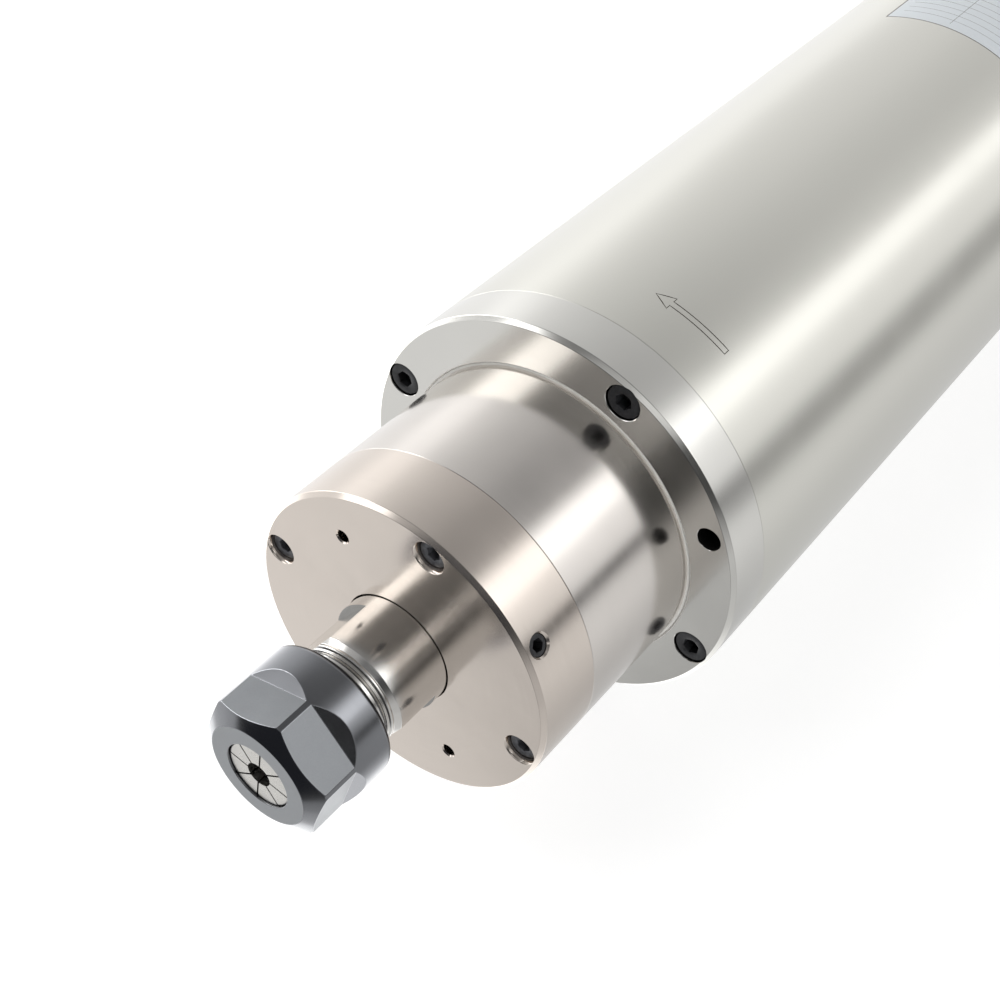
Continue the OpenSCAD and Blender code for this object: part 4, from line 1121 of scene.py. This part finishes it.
# %% Ring tree
def make_ring_tree():
    """Copies of a piece on a pitch circle round an axis along Y."""
    tree, given, end = new_tree("ring_of_copies", [
        ("Count", "Int"), ("Pitch Radius", "Float"), ("First Angle", "Float"),
        ("Middle", "Vector"), ("Turn Seed", "Int"), ("Finish", "Material")])
    index = add_node(tree, "GeometryNodeInputIndex").outputs[0]
    share = maths(tree, "DIVIDE", index, given["Count"])
    first = maths(tree, "RADIANS", given["First Angle"])
    angle = maths(tree, "MULTIPLY_ADD", share, 2 * math.pi, first)
    across = maths(tree, "MULTIPLY", maths(tree, "COSINE", angle), given["Pitch Radius"])
    upward = maths(tree, "MULTIPLY", maths(tree, "SINE", angle), given["Pitch Radius"])
    offset = add_node(tree, "ShaderNodeCombineXYZ", {0: across, 2: upward}).outputs[0]
    place = add_node(tree, "ShaderNodeVectorMath",
        {0: offset, 1: given["Middle"]}).outputs[0]
    points = add_node(tree, "GeometryNodePoints",
        {"Count": given["Count"], "Position": place})
    chance = add_node(tree, "FunctionNodeRandomValue",
        {"Seed": given["Turn Seed"]}, data_type="FLOAT")
    chance.inputs[2].default_value = 0.0
    chance.inputs[3].default_value = 2 * math.pi
    spin = add_node(tree, "ShaderNodeCombineXYZ", {1: chance.outputs[1]}).outputs[0]
    copies = add_node(tree, "GeometryNodeInstanceOnPoints",
        {"Points": points.outputs[0], "Instance": given["Geometry"], "Rotation": spin})
    finish_tree(tree, end, copies.outputs[0], given["Finish"])
    return tree


RING_TREE = make_ring_tree()


# %% Black screws
def blackened(name, tone=0.021, rough=0.38):
    """Oiled black oxide on steel, a little worn and mottled."""
    material, tree, shader = new_finish(name)
    place = object_place(tree)
    mottle = noise(tree, place, 900.0, 5.0, 0.7)
    patch = noise(tree, place, 210.0, 3.0)
    set_inputs(tree, shader, {
        "Base Color": two_tone(tree, spread(tree, mottle, 0.0, 1.0),
            (tone * 0.7, tone * 0.72, tone * 0.8), (tone * 1.9, tone * 1.95, tone * 2.1)),
        "Metallic": 0.35,
        "Specular IOR Level": 0.62,
        "Roughness": spread(tree, patch, rough * 0.75, rough * 1.25),
        "Normal": bump(tree, mottle, 4e-6)})
    return material


BLACK_OXIDE = blackened("black_oxide_screw")
GREY_OXIDE = blackened("worn_oxide_screw", 0.075, 0.42)


def socket_screw(name, d, length, top, ahead=1, edge=0.09):
    """Socket head screw along Y, its head face at top and its shank ahead of it.

    The head and its socket grow with the thread's diameter, d, as in a screw table.
    """
    head = (1.45 * d + 1.25) / 2
    hexagon = (0.75 * d + 0.1) / 2 * HEX_CORNER
    shank = d / 2 - 0.02

    def at(depth):
        return top + ahead * depth

    body = turned(name, softened([
        (0, at(0)), (head, at(0), edge * d), (head, at(d), 0.03 * d), (shank, at(d)),
        (shank, at(d + length), 0.1 * d), (0, at(d + length))]), 64)
    socket = turned("socket", [(0, at(-1)), (hexagon, at(-1)), (hexagon, at(0.6 * d)),
        (0, at(0.72 * d))], 6)
    flare = turned("flare", [(0, at(-1)), (hexagon * 1.06 + 1, at(-1)),
        (hexagon * 1.06, at(0)), (hexagon * 0.85, at(0.035 * d)), (0, at(0.035 * d))], 48)
    cut_away(body, [socket])
    cut_away(body, [flare])
    return smooth_by_angle(body, 30)


def screw_ring(screw, radius, first, seed, finish, slot, node, middle=(0.0, 0.0)):
    """Four copies of a screw on a pitch circle, made by the ring tree."""
    run_tree(screw, RING_TREE, Count=4, Pitch_Radius=radius * MM, First_Angle=first,
        Middle=(middle[0] * MM, 0.0, middle[1] * MM), Turn_Seed=seed, Finish=finish)
    return place_piece(screw, "housing", slot, None, node)


screw_ring(socket_screw("cover_screws_dressed", 4, 24.5, COVER_FACE + 1.5, edge=0.15),
    COVER_SCREW_R, COVER_SCREW_FIRST, 3, GREY_OXIDE, "black_oxide", "front_cover_screws")
screw_ring(socket_screw("flange_screws_dressed", 5, 21.6, FLANGE_FACE + 0.4),
    WALL_R, FLANGE_SCREW_FIRST, 8, BLACK_OXIDE, "black_oxide", "flange_screws")

# %% Side grub screw
# (radius, distance from the spindle's axis)
grub = turned("side_grub_screw_dressed", softened([
    (0, 33.7), (2.1, 33.7), (2.5, 34.3), (2.5, 39.4, 0.35), (0, 39.4)]), 48)
cut_away(grub, [turned("socket", [(0, 36.2), (1.6, 36.4), (1.6, 41), (0, 41)], 6, 12.0)])
aimed_out(grub, GRUB_ANGLE, GRUB_Y)
smooth_by_angle(grub, 30)
place_piece(grub, "housing", "black_oxide", BLACK_OXIDE, "side_grub_screw")

# %% [markdown]
# ## Shaft and its thread
#
# The shaft is one turned part. Its nose has a short taper down to the nut thread, and two
# wrench flats are milled across it. The thread follows a rule, a helix with a 60 degree
# profile, so a node tree sweeps a triangle along a spiral.

# %% Thread tree
# Share of a full 60 degree ridge that is left between its worn roots
TOOTH_SHARE = 0.96


def make_thread_tree():
    """Helical ridge of triangular section along Y."""
    tree, given, end = new_tree("helical_thread", [
        ("Middle Radius", "Float"), ("Tooth", "Float"), ("Pitch", "Float"),
        ("Turns", "Float"), ("Worn Edge", "Float"), ("Start", "Vector"),
        ("Finish", "Material")])
    rise = maths(tree, "MULTIPLY", given["Pitch"], given["Turns"])
    helix = add_node(tree, "GeometryNodeCurveSpiral", {
        "Resolution": 96, "Rotations": given["Turns"], "Height": rise,
        "Start Radius": given["Middle Radius"], "End Radius": given["Middle Radius"]})
    level = add_node(tree, "GeometryNodeSetCurveNormal", {"Curve": helix.outputs[0]},
        mode="Z_UP")
    section = add_node(tree, "GeometryNodeCurvePrimitiveCircle",
        {"Resolution": 3, "Radius": given["Tooth"]})
    worn = add_node(tree, "GeometryNodeFilletCurve",
        {"Curve": section.outputs[0], "Count": 4, "Radius": given["Worn Edge"]}, mode="POLY")
    ridge = add_node(tree, "GeometryNodeCurveToMesh", {
        "Curve": level.outputs[0], "Profile Curve": worn.outputs[0], "Fill Caps": True})
    laid = add_node(tree, "GeometryNodeTransform", {
        "Geometry": ridge.outputs[0], "Translation": given["Start"],
        "Rotation": (-math.pi / 2, 0.0, 0.0)})
    finish_tree(tree, end, laid.outputs[0], given["Finish"])
    return tree


THREAD_TREE = make_thread_tree()


def thread(name, crest, pitch, start, length, material, worn=0.2):
    """Thread ridge in millimetres, crest radius first, its edges rounded by worn."""
    tooth = pitch / math.sqrt(3) * TOOTH_SHARE
    piece = new_object(name, bpy.data.meshes.new(name))
    return run_tree(piece, THREAD_TREE, Middle_Radius=(crest - tooth) * MM,
        Tooth=tooth * MM, Pitch=pitch * MM, Turns=length / pitch, Worn_Edge=worn * MM,
        Start=(0.0, start * MM, 0.0), Finish=material)


# %% Shaft
NOSE_R = 14.0
THREAD_ROOT = 11.9
BORE_END = -65.0
TAPER = math.radians(8)
TAPER_MOUTH_R = 10.55
TAPER_MOUTH = -92.2
SHAFT_FACE, SHAFT_END = stations("shaft")
SHOULDER = -43.5


def taper_radius(station):
    """Radius of the collet seat, which closes by 8 degrees to the rear."""
    return TAPER_MOUTH_R - (station - TAPER_MOUTH) * math.tan(TAPER)


shaft = turned("shaft_dressed", softened([
    # the mouth of the collet seat, and the root of the nut thread
    (taper_radius(SHAFT_FACE), SHAFT_FACE), (11.2, SHAFT_FACE, 0.1), (THREAD_ROOT, -90.9),
    (THREAD_ROOT, -73.55),
    # the thread's run-out: one ridge, a hollow and a short cone up to the nose
    (12.1, -73.3, 0.2), (12.7, -73.05, 0.2), (12.7, -72.75, 0.15), (12.5, -72.6, 0.1),
    (12.5, -72.4, 0.1), (13.05, -72.05, 0.2), (13.05, -71.6, 0.15), (13.0, -71.3, 0.1),
    (NOSE_R, -70.15, 0.12), (NOSE_R, SHOULDER),
    # the shoulder, and the seats of front bearings, rotor and rear bearing
    (18.0, SHOULDER, 0.3), (18.0, -33), (15.0, -33), (15.0, 10), (14.5, 10), (14.5, 222),
    (12.5, 222), (12.5, 245), (11.5, SHAFT_END), (0, SHAFT_END),
    # the bore behind the seat
    (0, -42.0), (taper_radius(BORE_END), -45.0), (taper_radius(BORE_END), BORE_END)], 5))


# %% Wrench flats
FLAT_AT = 12.25
FLAT_END = -58.6
FLAT_ANGLES = even_angles(139.0, 2)


def block(name, x, y, z):
    """Plain box from its three ranges in millimetres."""
    return mesh_piece(name, [(a, b, c) for a in x for b in y for c in z], [(0, 1, 3, 2),
        (4, 5, 7, 6), (0, 1, 5, 4), (2, 3, 7, 6), (0, 2, 6, 4), (1, 3, 7, 5)])


cut_away(shaft, [stood_at(block("flat_tool", (FLAT_AT, 16), (-74, FLAT_END), (-14, 14)), a)
    for a in FLAT_ANGLES])
true_normals(shaft)
place_piece(shaft, "rotor", "shaft_steel", STEEL_NOSE, "shaft")


def at_flat_end(face):
    """True on the steps where the wrench flats end."""
    near = abs(face.center.y / MM - FLAT_END) < 0.01
    return near and off_axis(face.center) > FLAT_AT * MM


paint_faces(shaft, STEEL_MILLED, at_flat_end)

# %% Nut thread
THREAD_CREST = 12.78
THREAD_PITCH = 1.5
ridge = thread("nut_thread", THREAD_CREST, THREAD_PITCH, -90.2, 15.9, STEEL_NOSE)
smooth_by_angle(ridge, 40)
place_piece(ridge, "rotor", "shaft_steel", None)

# %% [markdown]
# ## Collet
#
# The collet is a hard steel sleeve with a long taper behind and a short cone in front.
# Eight slits run in from each end, half a step apart, so the sleeve closes evenly on the
# tool. The slits are thin blades cut through the turned sleeve.

# %% Collet
COLLET_FACE, COLLET_END = stations("collet")
COLLET_BORE = 3.0
COLLET_STEPS = 192
SLITS = 8
FIRST_SLIT = 34.0
SLIT_HALF = 0.2
# The groove that the extractor ring hooks into
GROOVE_STATIONS = (-96.33, -94.03)

collet = turned("collet_dressed", softened([
    (COLLET_BORE, COLLET_FACE, 0.06), (7.95, COLLET_FACE, 0.3),
    (9.1, GROOVE_STATIONS[0], 0.15), (8.3, GROOVE_STATIONS[0]), (8.3, GROOVE_STATIONS[1]),
    (10.5, GROOVE_STATIONS[1], 0.3), (10.5, TAPER_MOUTH, 0.2), (6.958, COLLET_END, 0.3),
    (COLLET_BORE, COLLET_END)]), COLLET_STEPS)


def blades(first, low, high):
    """Thin radial blades, one for each slit, that start inside the bore."""
    return [stood_at(block("blade", (1.9, 12.0), (low, high), (-SLIT_HALF, SLIT_HALF)), a)
        for a in even_angles(first, SLITS)]


cut_away(collet, blades(FIRST_SLIT, COLLET_FACE - 1.5, -72.5)
    + blades(FIRST_SLIT + 180 / SLITS, -90.7, COLLET_END + 7))
true_normals(collet, COLLET_STEPS)
place_piece(collet, "collet", "collet_steel", STEEL_COLLET, "collet")

# %% [markdown]
# ## Collet nut
#
# The nut starts as a turned blank with a steep front cone and a rounded skirt. Six flats
# are milled from the front as far as the skirt, and the cutter's slanted corner leaves a
# crescent behind each one. Here one hexagonal sleeve takes all six away. The milled faces
# came out satin and the turned ones glossy. The edges of the real nut are broken by hand,
# and a narrow bevel catches the light the same way.

# %% Collet nut
NUT_R = outer_radius("collet_nut")
NUT_BORE = 12.55
RING_SEAT_R = 11.3
MOUTH_R = 8.2
HEX_HALF = 15.0
HEX_BACK_HALF = 17.4
HEX_START = -87.55
HEX_END = -84.0
EDGE_BREAK = 0.11

nut = turned("collet_nut_dressed", softened([
    # the face, the steep cone and the skirt with its round back edge
    (MOUTH_R, NUT_FACE, 0.15), (12.65, NUT_FACE, 0.2), (NUT_R, -96.28, 0.25),
    (NUT_R, NUT_BACK, 1.5),
    # the thread bore, the seat of the extractor ring and the mouth
    (13.45, NUT_BACK, 0.1), (NUT_BORE, NUT_BACK - 0.9), (NUT_BORE, -92.2),
    (RING_SEAT_R, -92.2), (RING_SEAT_R, -95.93), (9.6, -95.93), (MOUTH_R, -98.4)], 5))
sleeve = turned("hex_sleeve", [
    (HEX_HALF * HEX_CORNER, NUT_FACE - 2), (26, NUT_FACE - 2), (26, HEX_END),
    (HEX_BACK_HALF * HEX_CORNER, HEX_END), (HEX_HALF * HEX_CORNER, HEX_START)], 6, 11.0)
cut_away(nut, [sleeve])
bevel = nut.modifiers.new("edge_break", "BEVEL")
bevel.width = EDGE_BREAK * MM
bevel.segments = 2
bevel.limit_method = "ANGLE"
bevel.angle_limit = math.radians(24)
bevel.use_clamp_overlap = False
settled(nut)
true_normals(nut, STEPS, 22)
place_piece(nut, "nut", "nut_gunmetal", NUT_METAL, "collet_nut")


def milled(face):
    """True on the nut's front face and on its six flats."""
    if face.normal.y < -0.98 and face.center.y < (NUT_FACE + 0.1) * MM:
        return True
    flat = abs(face.normal.y) < 0.05 and face.area > FLAT_AREA
    outside = off_axis(face.center) > 13.5 * MM
    return flat and outside and not spans_little(nut.data, face, STEPS)


paint_faces(nut, NUT_FLAT, milled)

# %% [markdown]
# ## Rear end
#
# Behind the tube come the rear bearing housing and a cup-shaped cover with the power
# connector and two hose fittings. They are turned, drilled and finished as the front is.

# %% Rear bearing housing
HOSE_ANGLES = CHANNEL_ANGLES[3:5]
bell = turned("rear_bearing_housing_dressed", softened([
    # the hub, and the hollow between it and the spigot
    (23.5, BELL_START), (29, BELL_START), (29, 256), (36, 256), (36, 246),
    # the spigot in the tube, and the outside
    (41.5, 246), (CENTRING_R, 246.5), (CENTRING_R, TUBE_END), (BODY_R, TUBE_END, 0.18),
    (BODY_R, BELL_END, 0.18),
    # the hole for the shaft, and the bearing's seat
    (20, BELL_END), (20, 238), (23.5, 238)]))
cut_away(bell, bores(drill(2.75, TUBE_END - 1, BELL_END + 1), WALL_R, REAR_SCREW_ANGLES))
cut_away(bell, bores(drill(CHANNEL_R, TUBE_END - 1, BELL_END + 1), WALL_R, HOSE_ANGLES))
true_normals(bell)
place_piece(bell, "housing", "stainless_body", STEEL_BODY, "rear_bearing_housing")

# %% Rear cover
CONNECTOR_TURN = FLANGE_SCREW_FIRST
CONNECTOR_AT = on_circle(26.0, CONNECTOR_TURN)
CUP_R = 40
CUP_END = 284

rear = turned("rear_cover_dressed", softened([
    (CUP_R, BELL_END), (BODY_R, BELL_END, 0.18), (BODY_R, REAR_FACE - 1, 0.25),
    (BODY_R - 1, REAR_FACE, 0.25), (0, REAR_FACE), (0, CUP_END), (CUP_R, CUP_END)]))
cut_away(rear, bores(sunk(REAR_FACE, mouth(4.5, 0.2) + [(4.5, 5.4), (2.75, 5.4),
    (2.75, 23)], -1), WALL_R, REAR_SCREW_ANGLES))
cut_away(rear, bores(sunk(REAR_FACE, [(3.5, -1), (3.5, 7), (CHANNEL_R, 7),
    (CHANNEL_R, 23)], -1), WALL_R, HOSE_ANGLES))
cut_away(rear, [turned("connector_hole", drill(9, CUP_END - 1, REAR_FACE + 1), 64, 0.0,
    CONNECTOR_AT)])
true_normals(rear)
place_piece(rear, "housing", "stainless_body", STEEL_FLANGE, "rear_cover")
screw_ring(socket_screw("rear_screws_dressed", 5, 38.6, REAR_FACE - 0.4, -1), WALL_R,
    REAR_SCREW_FIRST, 5, BLACK_OXIDE, "black_oxide", "rear_cover_screws")

# %% Power connector
SHELL_BORE = 7.6
SHELL_R = 8.5
COUPLING_R = 9.0
SHELL_END = stations("connector_shell")[1]
PLATE_HALF = 11.75
PLATE_T = 3
PLATE_END = REAR_FACE + PLATE_T
PLATE_SCREW_R = 8.95 * math.sqrt(2)
FIRST_THREAD = 295
THREAD_STEP = 2

barrel = [(SHELL_BORE, CUP_END), (8.98, CUP_END), (8.98, PLATE_END),
    (SHELL_R, PLATE_END + 0.2)]
for i in range(5):
    start = FIRST_THREAD + THREAD_STEP * i
    barrel += [(SHELL_R, start - 0.25), (COUPLING_R, start, 0.08),
        (COUPLING_R, start + 0.75, 0.08), (SHELL_R, start + 1.0)]
barrel += [(SHELL_R, SHELL_END, 0.2), (SHELL_BORE, SHELL_END, 0.15)]
shell = turned("connector_barrel", softened(barrel), 96)

plate_side = (-PLATE_HALF, PLATE_HALF)
plate = block("connector_plate", plate_side, (REAR_FACE, PLATE_END), plate_side)
soft_edge = plate.modifiers.new("soft_edge", "BEVEL")
soft_edge.width = 0.5 * MM
soft_edge.segments = 3
settled(plate)
cut_away(plate, [turned("plate_bore", drill(8.0, REAR_FACE - 1, PLATE_END + 1), 64)])
cut_away(plate, bores(drill(1.6, REAR_FACE - 1, PLATE_END + 1), PLATE_SCREW_R,
    even_angles(45), 32))

CONNECTOR_METAL = turned_metal("satin_chrome_connector", (0.74, 0.745, 0.75), 0.24,
    depth=1e-6)
shell = joined("connector_shell_dressed", [shell, plate])
stood_at(shell, CONNECTOR_TURN, CONNECTOR_AT)
smooth_by_angle(shell, 30)
place_piece(shell, "housing", "connector_chrome", CONNECTOR_METAL, "connector_shell")

# %% Connector screws
screw_ring(socket_screw("connector_screws_dressed", 3, 7.4, PLATE_END + 3, -1),
    PLATE_SCREW_R, CONNECTOR_TURN + 45, 11, STEEL_NOSE, "bearing_steel",
    "connector_screws", CONNECTOR_AT)

# %% [markdown]
# ## Hose fittings
#
# Two brass fittings carry the coolant. Each is a hexagon with chamfered corners, so that a
# spanner slips on, and a tail with three barbs, sharp towards the body, that a hose slides
# over and can't come back from.

# %% Hose fittings
HOSE_BORE = 1.8
STEM_R = 3.48
NECK_R = 2.7
BARB_R = 3.5
FITTING_END = stations("water_fittings")[1]
TAIL_START = 297
BARBS = 3
BARB_LENGTH = (FITTING_END - TAIL_START) / BARBS
SPANNER_HALF = 4.5
HEX_TOP = 295


def hose_fitting(angle):
    """Threaded stem, chamfered hexagon and barbed tail, at one angle."""
    middle = on_circle(WALL_R, angle)
    tail = [(HOSE_BORE, CUP_END), (3.2, CUP_END, 0.2), (STEM_R, CUP_END + 0.4),
        (STEM_R, REAR_FACE + 1), (NECK_R, REAR_FACE + 1), (NECK_R, TAIL_START, 0.2)]
    for i in range(BARBS):
        start = TAIL_START + BARB_LENGTH * i
        tail += [(BARB_R, start, 0.12), (NECK_R, start + BARB_LENGTH - 0.02, 0.1)]
    tail += [(HOSE_BORE, FITTING_END, 0.15)]
    stem = turned("stem", softened(tail), 64, 0.0, middle)
    wide = SPANNER_HALF * HEX_CORNER
    hexagon = turned("hexagon", [(2.6, REAR_FACE), (wide, REAR_FACE), (wide, HEX_TOP),
        (2.6, HEX_TOP)], 6, angle, middle)
    cone = turned("cone", [
        (0, REAR_FACE - 1), (wide - 0.35, REAR_FACE - 1), (wide - 0.35, REAR_FACE),
        (wide, REAR_FACE + 0.4), (wide, HEX_TOP - 0.6), (wide - 0.6, HEX_TOP),
        (0, HEX_TOP + 0.2)], 64, 0.0, middle)
    cut_away(hexagon, [cone], "INTERSECT")
    return [stem, hexagon]


fittings = joined("hose_fittings_dressed",
    [part for angle in HOSE_ANGLES for part in hose_fitting(angle)])
smooth_by_angle(fittings, 28)
BRASS = turned_metal("turned_brass", (0.80, 0.58, 0.27), 0.26, rings=1500.0, depth=1.5e-6,
    clouds=120.0, vary=0.10)
place_piece(fittings, "housing", "fitting_brass", BRASS, "water_fittings")

# %% [markdown]
# ## Inside the spindle
#
# The pieces inside keep the frame's meshes, and each gets the finish it has when the
# spindle is opened: ground races, punched sheets in a stack, varnished wire, cast
# aluminium, and cages of woven resin.

# %% Inside finishes
SHEET_PITCH = 0.5
WIRE_PITCH = 0.8
WEAVE_PITCH = 0.7
THREADS_ROUND = 180.0


def grained(name, dark, light, metal, rough, scale, depth, coat=0.0):
    """Two close colours in a fine grain, with bump and uneven roughness."""
    material, tree, shader = new_finish(name)
    place = object_place(tree)
    grain = noise(tree, place, scale, 5.0, 0.65)
    cloud = noise(tree, place, scale / 9, 3.0)
    set_inputs(tree, shader, {
        "Base Color": two_tone(tree, spread(tree, average(tree, grain, cloud), 0.0, 1.0),
            dark, light),
        "Metallic": metal,
        "Coat Weight": coat,
        "Roughness": spread(tree, cloud, rough * 0.85, rough * 1.15),
        "Normal": bump(tree, grain, depth)})
    return material


def stacked_sheets(name, dark, light):
    """Punched sheets of electrical steel, one pitch apart along the axis."""
    material, tree, shader = new_finish(name)
    place = object_place(tree)
    sheet = maths(tree, "DIVIDE", split(tree, place)[1], SHEET_PITCH * MM)
    tint = add_node(tree, "ShaderNodeTexWhiteNoise", {"W": maths(tree, "FLOOR", sheet)},
        noise_dimensions="1D").outputs[0]
    blend = noise(tree, place, 300.0)
    off_middle = maths(tree, "ABSOLUTE",
        maths(tree, "SUBTRACT", maths(tree, "FRACT", sheet), 0.5))
    fall = maths(tree, "POWER", maths(tree, "MULTIPLY", off_middle, 2.0), 8.0)
    set_inputs(tree, shader, {
        "Base Color": two_tone(tree, average(tree, tint, blend, 0.6), dark, light),
        "Metallic": 0.85,
        "Roughness": spread(tree, blend, 0.36, 0.50),
        "Normal": bump(tree, maths(tree, "SUBTRACT", 1.0, fall), 3e-5)})
    return material


def wave(tree, place, pitch):
    """Sine along a place, one wave for each pitch in millimetres."""
    return maths(tree, "SINE", maths(tree, "MULTIPLY", place, 2 * math.pi / (pitch * MM)))


def wound_wire():
    """Varnished copper strands that run round the end windings."""
    material, tree, shader = new_finish("varnished_copper_wire")
    place = object_place(tree)
    x, y, z = split(tree, place)
    sway = noise(tree, place, 90.0)
    across = maths(tree, "MULTIPLY_ADD", sway, 1.2 * MM,
        maths(tree, "ADD", axis_radius(tree, x, z), y))
    strand = maths(tree, "MULTIPLY_ADD", wave(tree, across, WIRE_PITCH), 0.5, 0.5)
    set_inputs(tree, shader, {
        "Base Color": two_tone(tree, strand, (0.20, 0.065, 0.025), (0.62, 0.25, 0.09)),
        "Metallic": 0.7,
        "Coat Weight": 0.6,
        "Coat Roughness": 0.2,
        "Roughness": spread(tree, sway, 0.28, 0.42),
        "Normal": bump(tree, strand, 2e-4)})
    return material


def woven_resin():
    """Brown resin cage with the weave of its cotton cloth showing."""
    material, tree, shader = new_finish("woven_brown_resin")
    x, y, z = split(tree, object_place(tree))
    angle = maths(tree, "ARCTAN2", z, x)
    warp = maths(tree, "SINE", maths(tree, "MULTIPLY", angle, THREADS_ROUND))
    weft = wave(tree, y, WEAVE_PITCH)
    weave = maths(tree, "MULTIPLY_ADD", maths(tree, "MULTIPLY", warp, weft), 0.5, 0.5)
    set_inputs(tree, shader, {
        "Base Color": two_tone(tree, weave, (0.23, 0.11, 0.045), (0.38, 0.20, 0.085)),
        "Roughness": spread(tree, weave, 0.38, 0.52),
        "Normal": bump(tree, weave, 5e-5)})
    return material


# %% Steel and rubber inside
BLACK_RUBBER = grained("nitrile_rubber", (0.012, 0.012, 0.013), (0.03, 0.03, 0.031), 0.0,
    0.55, 700.0, 1.5e-5)
GROUND_STEEL = turned_metal("ground_bearing_steel", (0.68, 0.68, 0.69), 0.14, rings=1800.0,
    depth=6e-7)
BALL_STEEL = turned_metal("lapped_ball_steel", (0.74, 0.745, 0.76), 0.06, rings=2500.0,
    depth=1e-7, clouds=200.0, vary=0.02)
SPRING_STEEL = turned_metal("tempered_spring_steel", (0.30, 0.30, 0.34), 0.28, rings=1500.0,
    depth=1.5e-6)
STATOR_SHEETS = stacked_sheets("stator_sheets", (0.13, 0.12, 0.12), (0.24, 0.235, 0.24))
ROTOR_SHEETS = stacked_sheets("rotor_sheets", (0.19, 0.185, 0.18), (0.34, 0.335, 0.33))

# %% Castings, plastics and pins inside
CAST_ALUMINIUM = grained("die_cast_aluminium", (0.52, 0.53, 0.54), (0.68, 0.685, 0.69), 0.95,
    0.42, 500.0, 2.5e-5)
BLACK_NYLON = grained("glass_filled_nylon", (0.018, 0.018, 0.02), (0.045, 0.045, 0.048), 0.0,
    0.45, 1500.0, 8e-6)
RED_SLEEVE = grained("silicone_lead_sleeve", (0.30, 0.045, 0.03), (0.44, 0.075, 0.05), 0.0,
    0.48, 600.0, 1.2e-5, 0.15)
GOLD_PIN = turned_metal("gold_washed_pin", (0.86, 0.66, 0.32), 0.20, rings=1800.0,
    depth=1e-6)

# %% Dress the carried-over nodes
INSIDE_FINISHES = {
    BLACK_RUBBER: ["front_o_rings", "rear_o_rings"],
    STATOR_SHEETS: ["stator_core"],
    ROTOR_SHEETS: ["rotor_core"],
    wound_wire(): ["stator_windings"],
    GROUND_STEEL: ["front_bearing_outer_rings", "front_outer_spacer", "slinger",
        "rear_bearing_outer_ring", "front_bearing_inner_rings", "front_inner_spacer",
        "rear_bearing_inner_ring"],
    SPRING_STEEL: ["preload_spring", "front_locknut", "rear_locknut", "nut_extractor_ring"],
    CAST_ALUMINIUM: ["rotor_cage"],
    BALL_STEEL: ["front_bearing_balls", "rear_bearing_balls"],
    woven_resin(): ["front_bearing_cages", "rear_bearing_cage"],
    BLACK_NYLON: ["connector_insert"],
    GOLD_PIN: ["connector_pins"],
    RED_SLEEVE: ["motor_leads"],
}
for finish, names in INSIDE_FINISHES.items():
    for name in names:
        nodes[name].data.materials.clear()
        nodes[name].data.materials.append(finish)
print("dressed nodes:", sum(len(names) for names in INSIDE_FINISHES.values()))

# %% [markdown]
# ## Floor
#
# The spindle rests on white paper. The paper glows a little so that it comes out nearly
# white, as an overlit sweep does, and only the soft shadow under the tube is left. It is
# hidden from mirrors, because the steel has to show the room's panels instead.

# %% Floor
FLOOR_HALF = 4.0
FLOOR_GAP = 0.2
PAPER_GLOW = 0.70


def paper_floor():
    """Wide sheet of faintly mottled white paper under the spindle."""
    level = -(BODY_R + FLOOR_GAP) * MM
    mesh = bpy.data.meshes.new("studio_floor")
    mesh.from_pydata([(x * FLOOR_HALF, y * FLOOR_HALF, level)
        for x, y in ((-1, -1), (1, -1), (1, 1), (-1, 1))], [], [(0, 1, 2, 3)])
    floor = new_object("studio_floor", mesh)
    floor.visible_glossy = False
    material, tree, shader = new_finish("white_paper")
    fibre = noise(tree, object_place(tree), 60.0)
    set_inputs(tree, shader, {
        "Base Color": two_tone(tree, fibre, (0.49, 0.49, 0.49), (0.51, 0.51, 0.51)),
        "Roughness": 0.9,
        "Specular IOR Level": 0.1,
        "Emission Color": WHITE,
        "Emission Strength": PAPER_GLOW})
    mesh.materials.append(material)
    return floor


paper_floor()
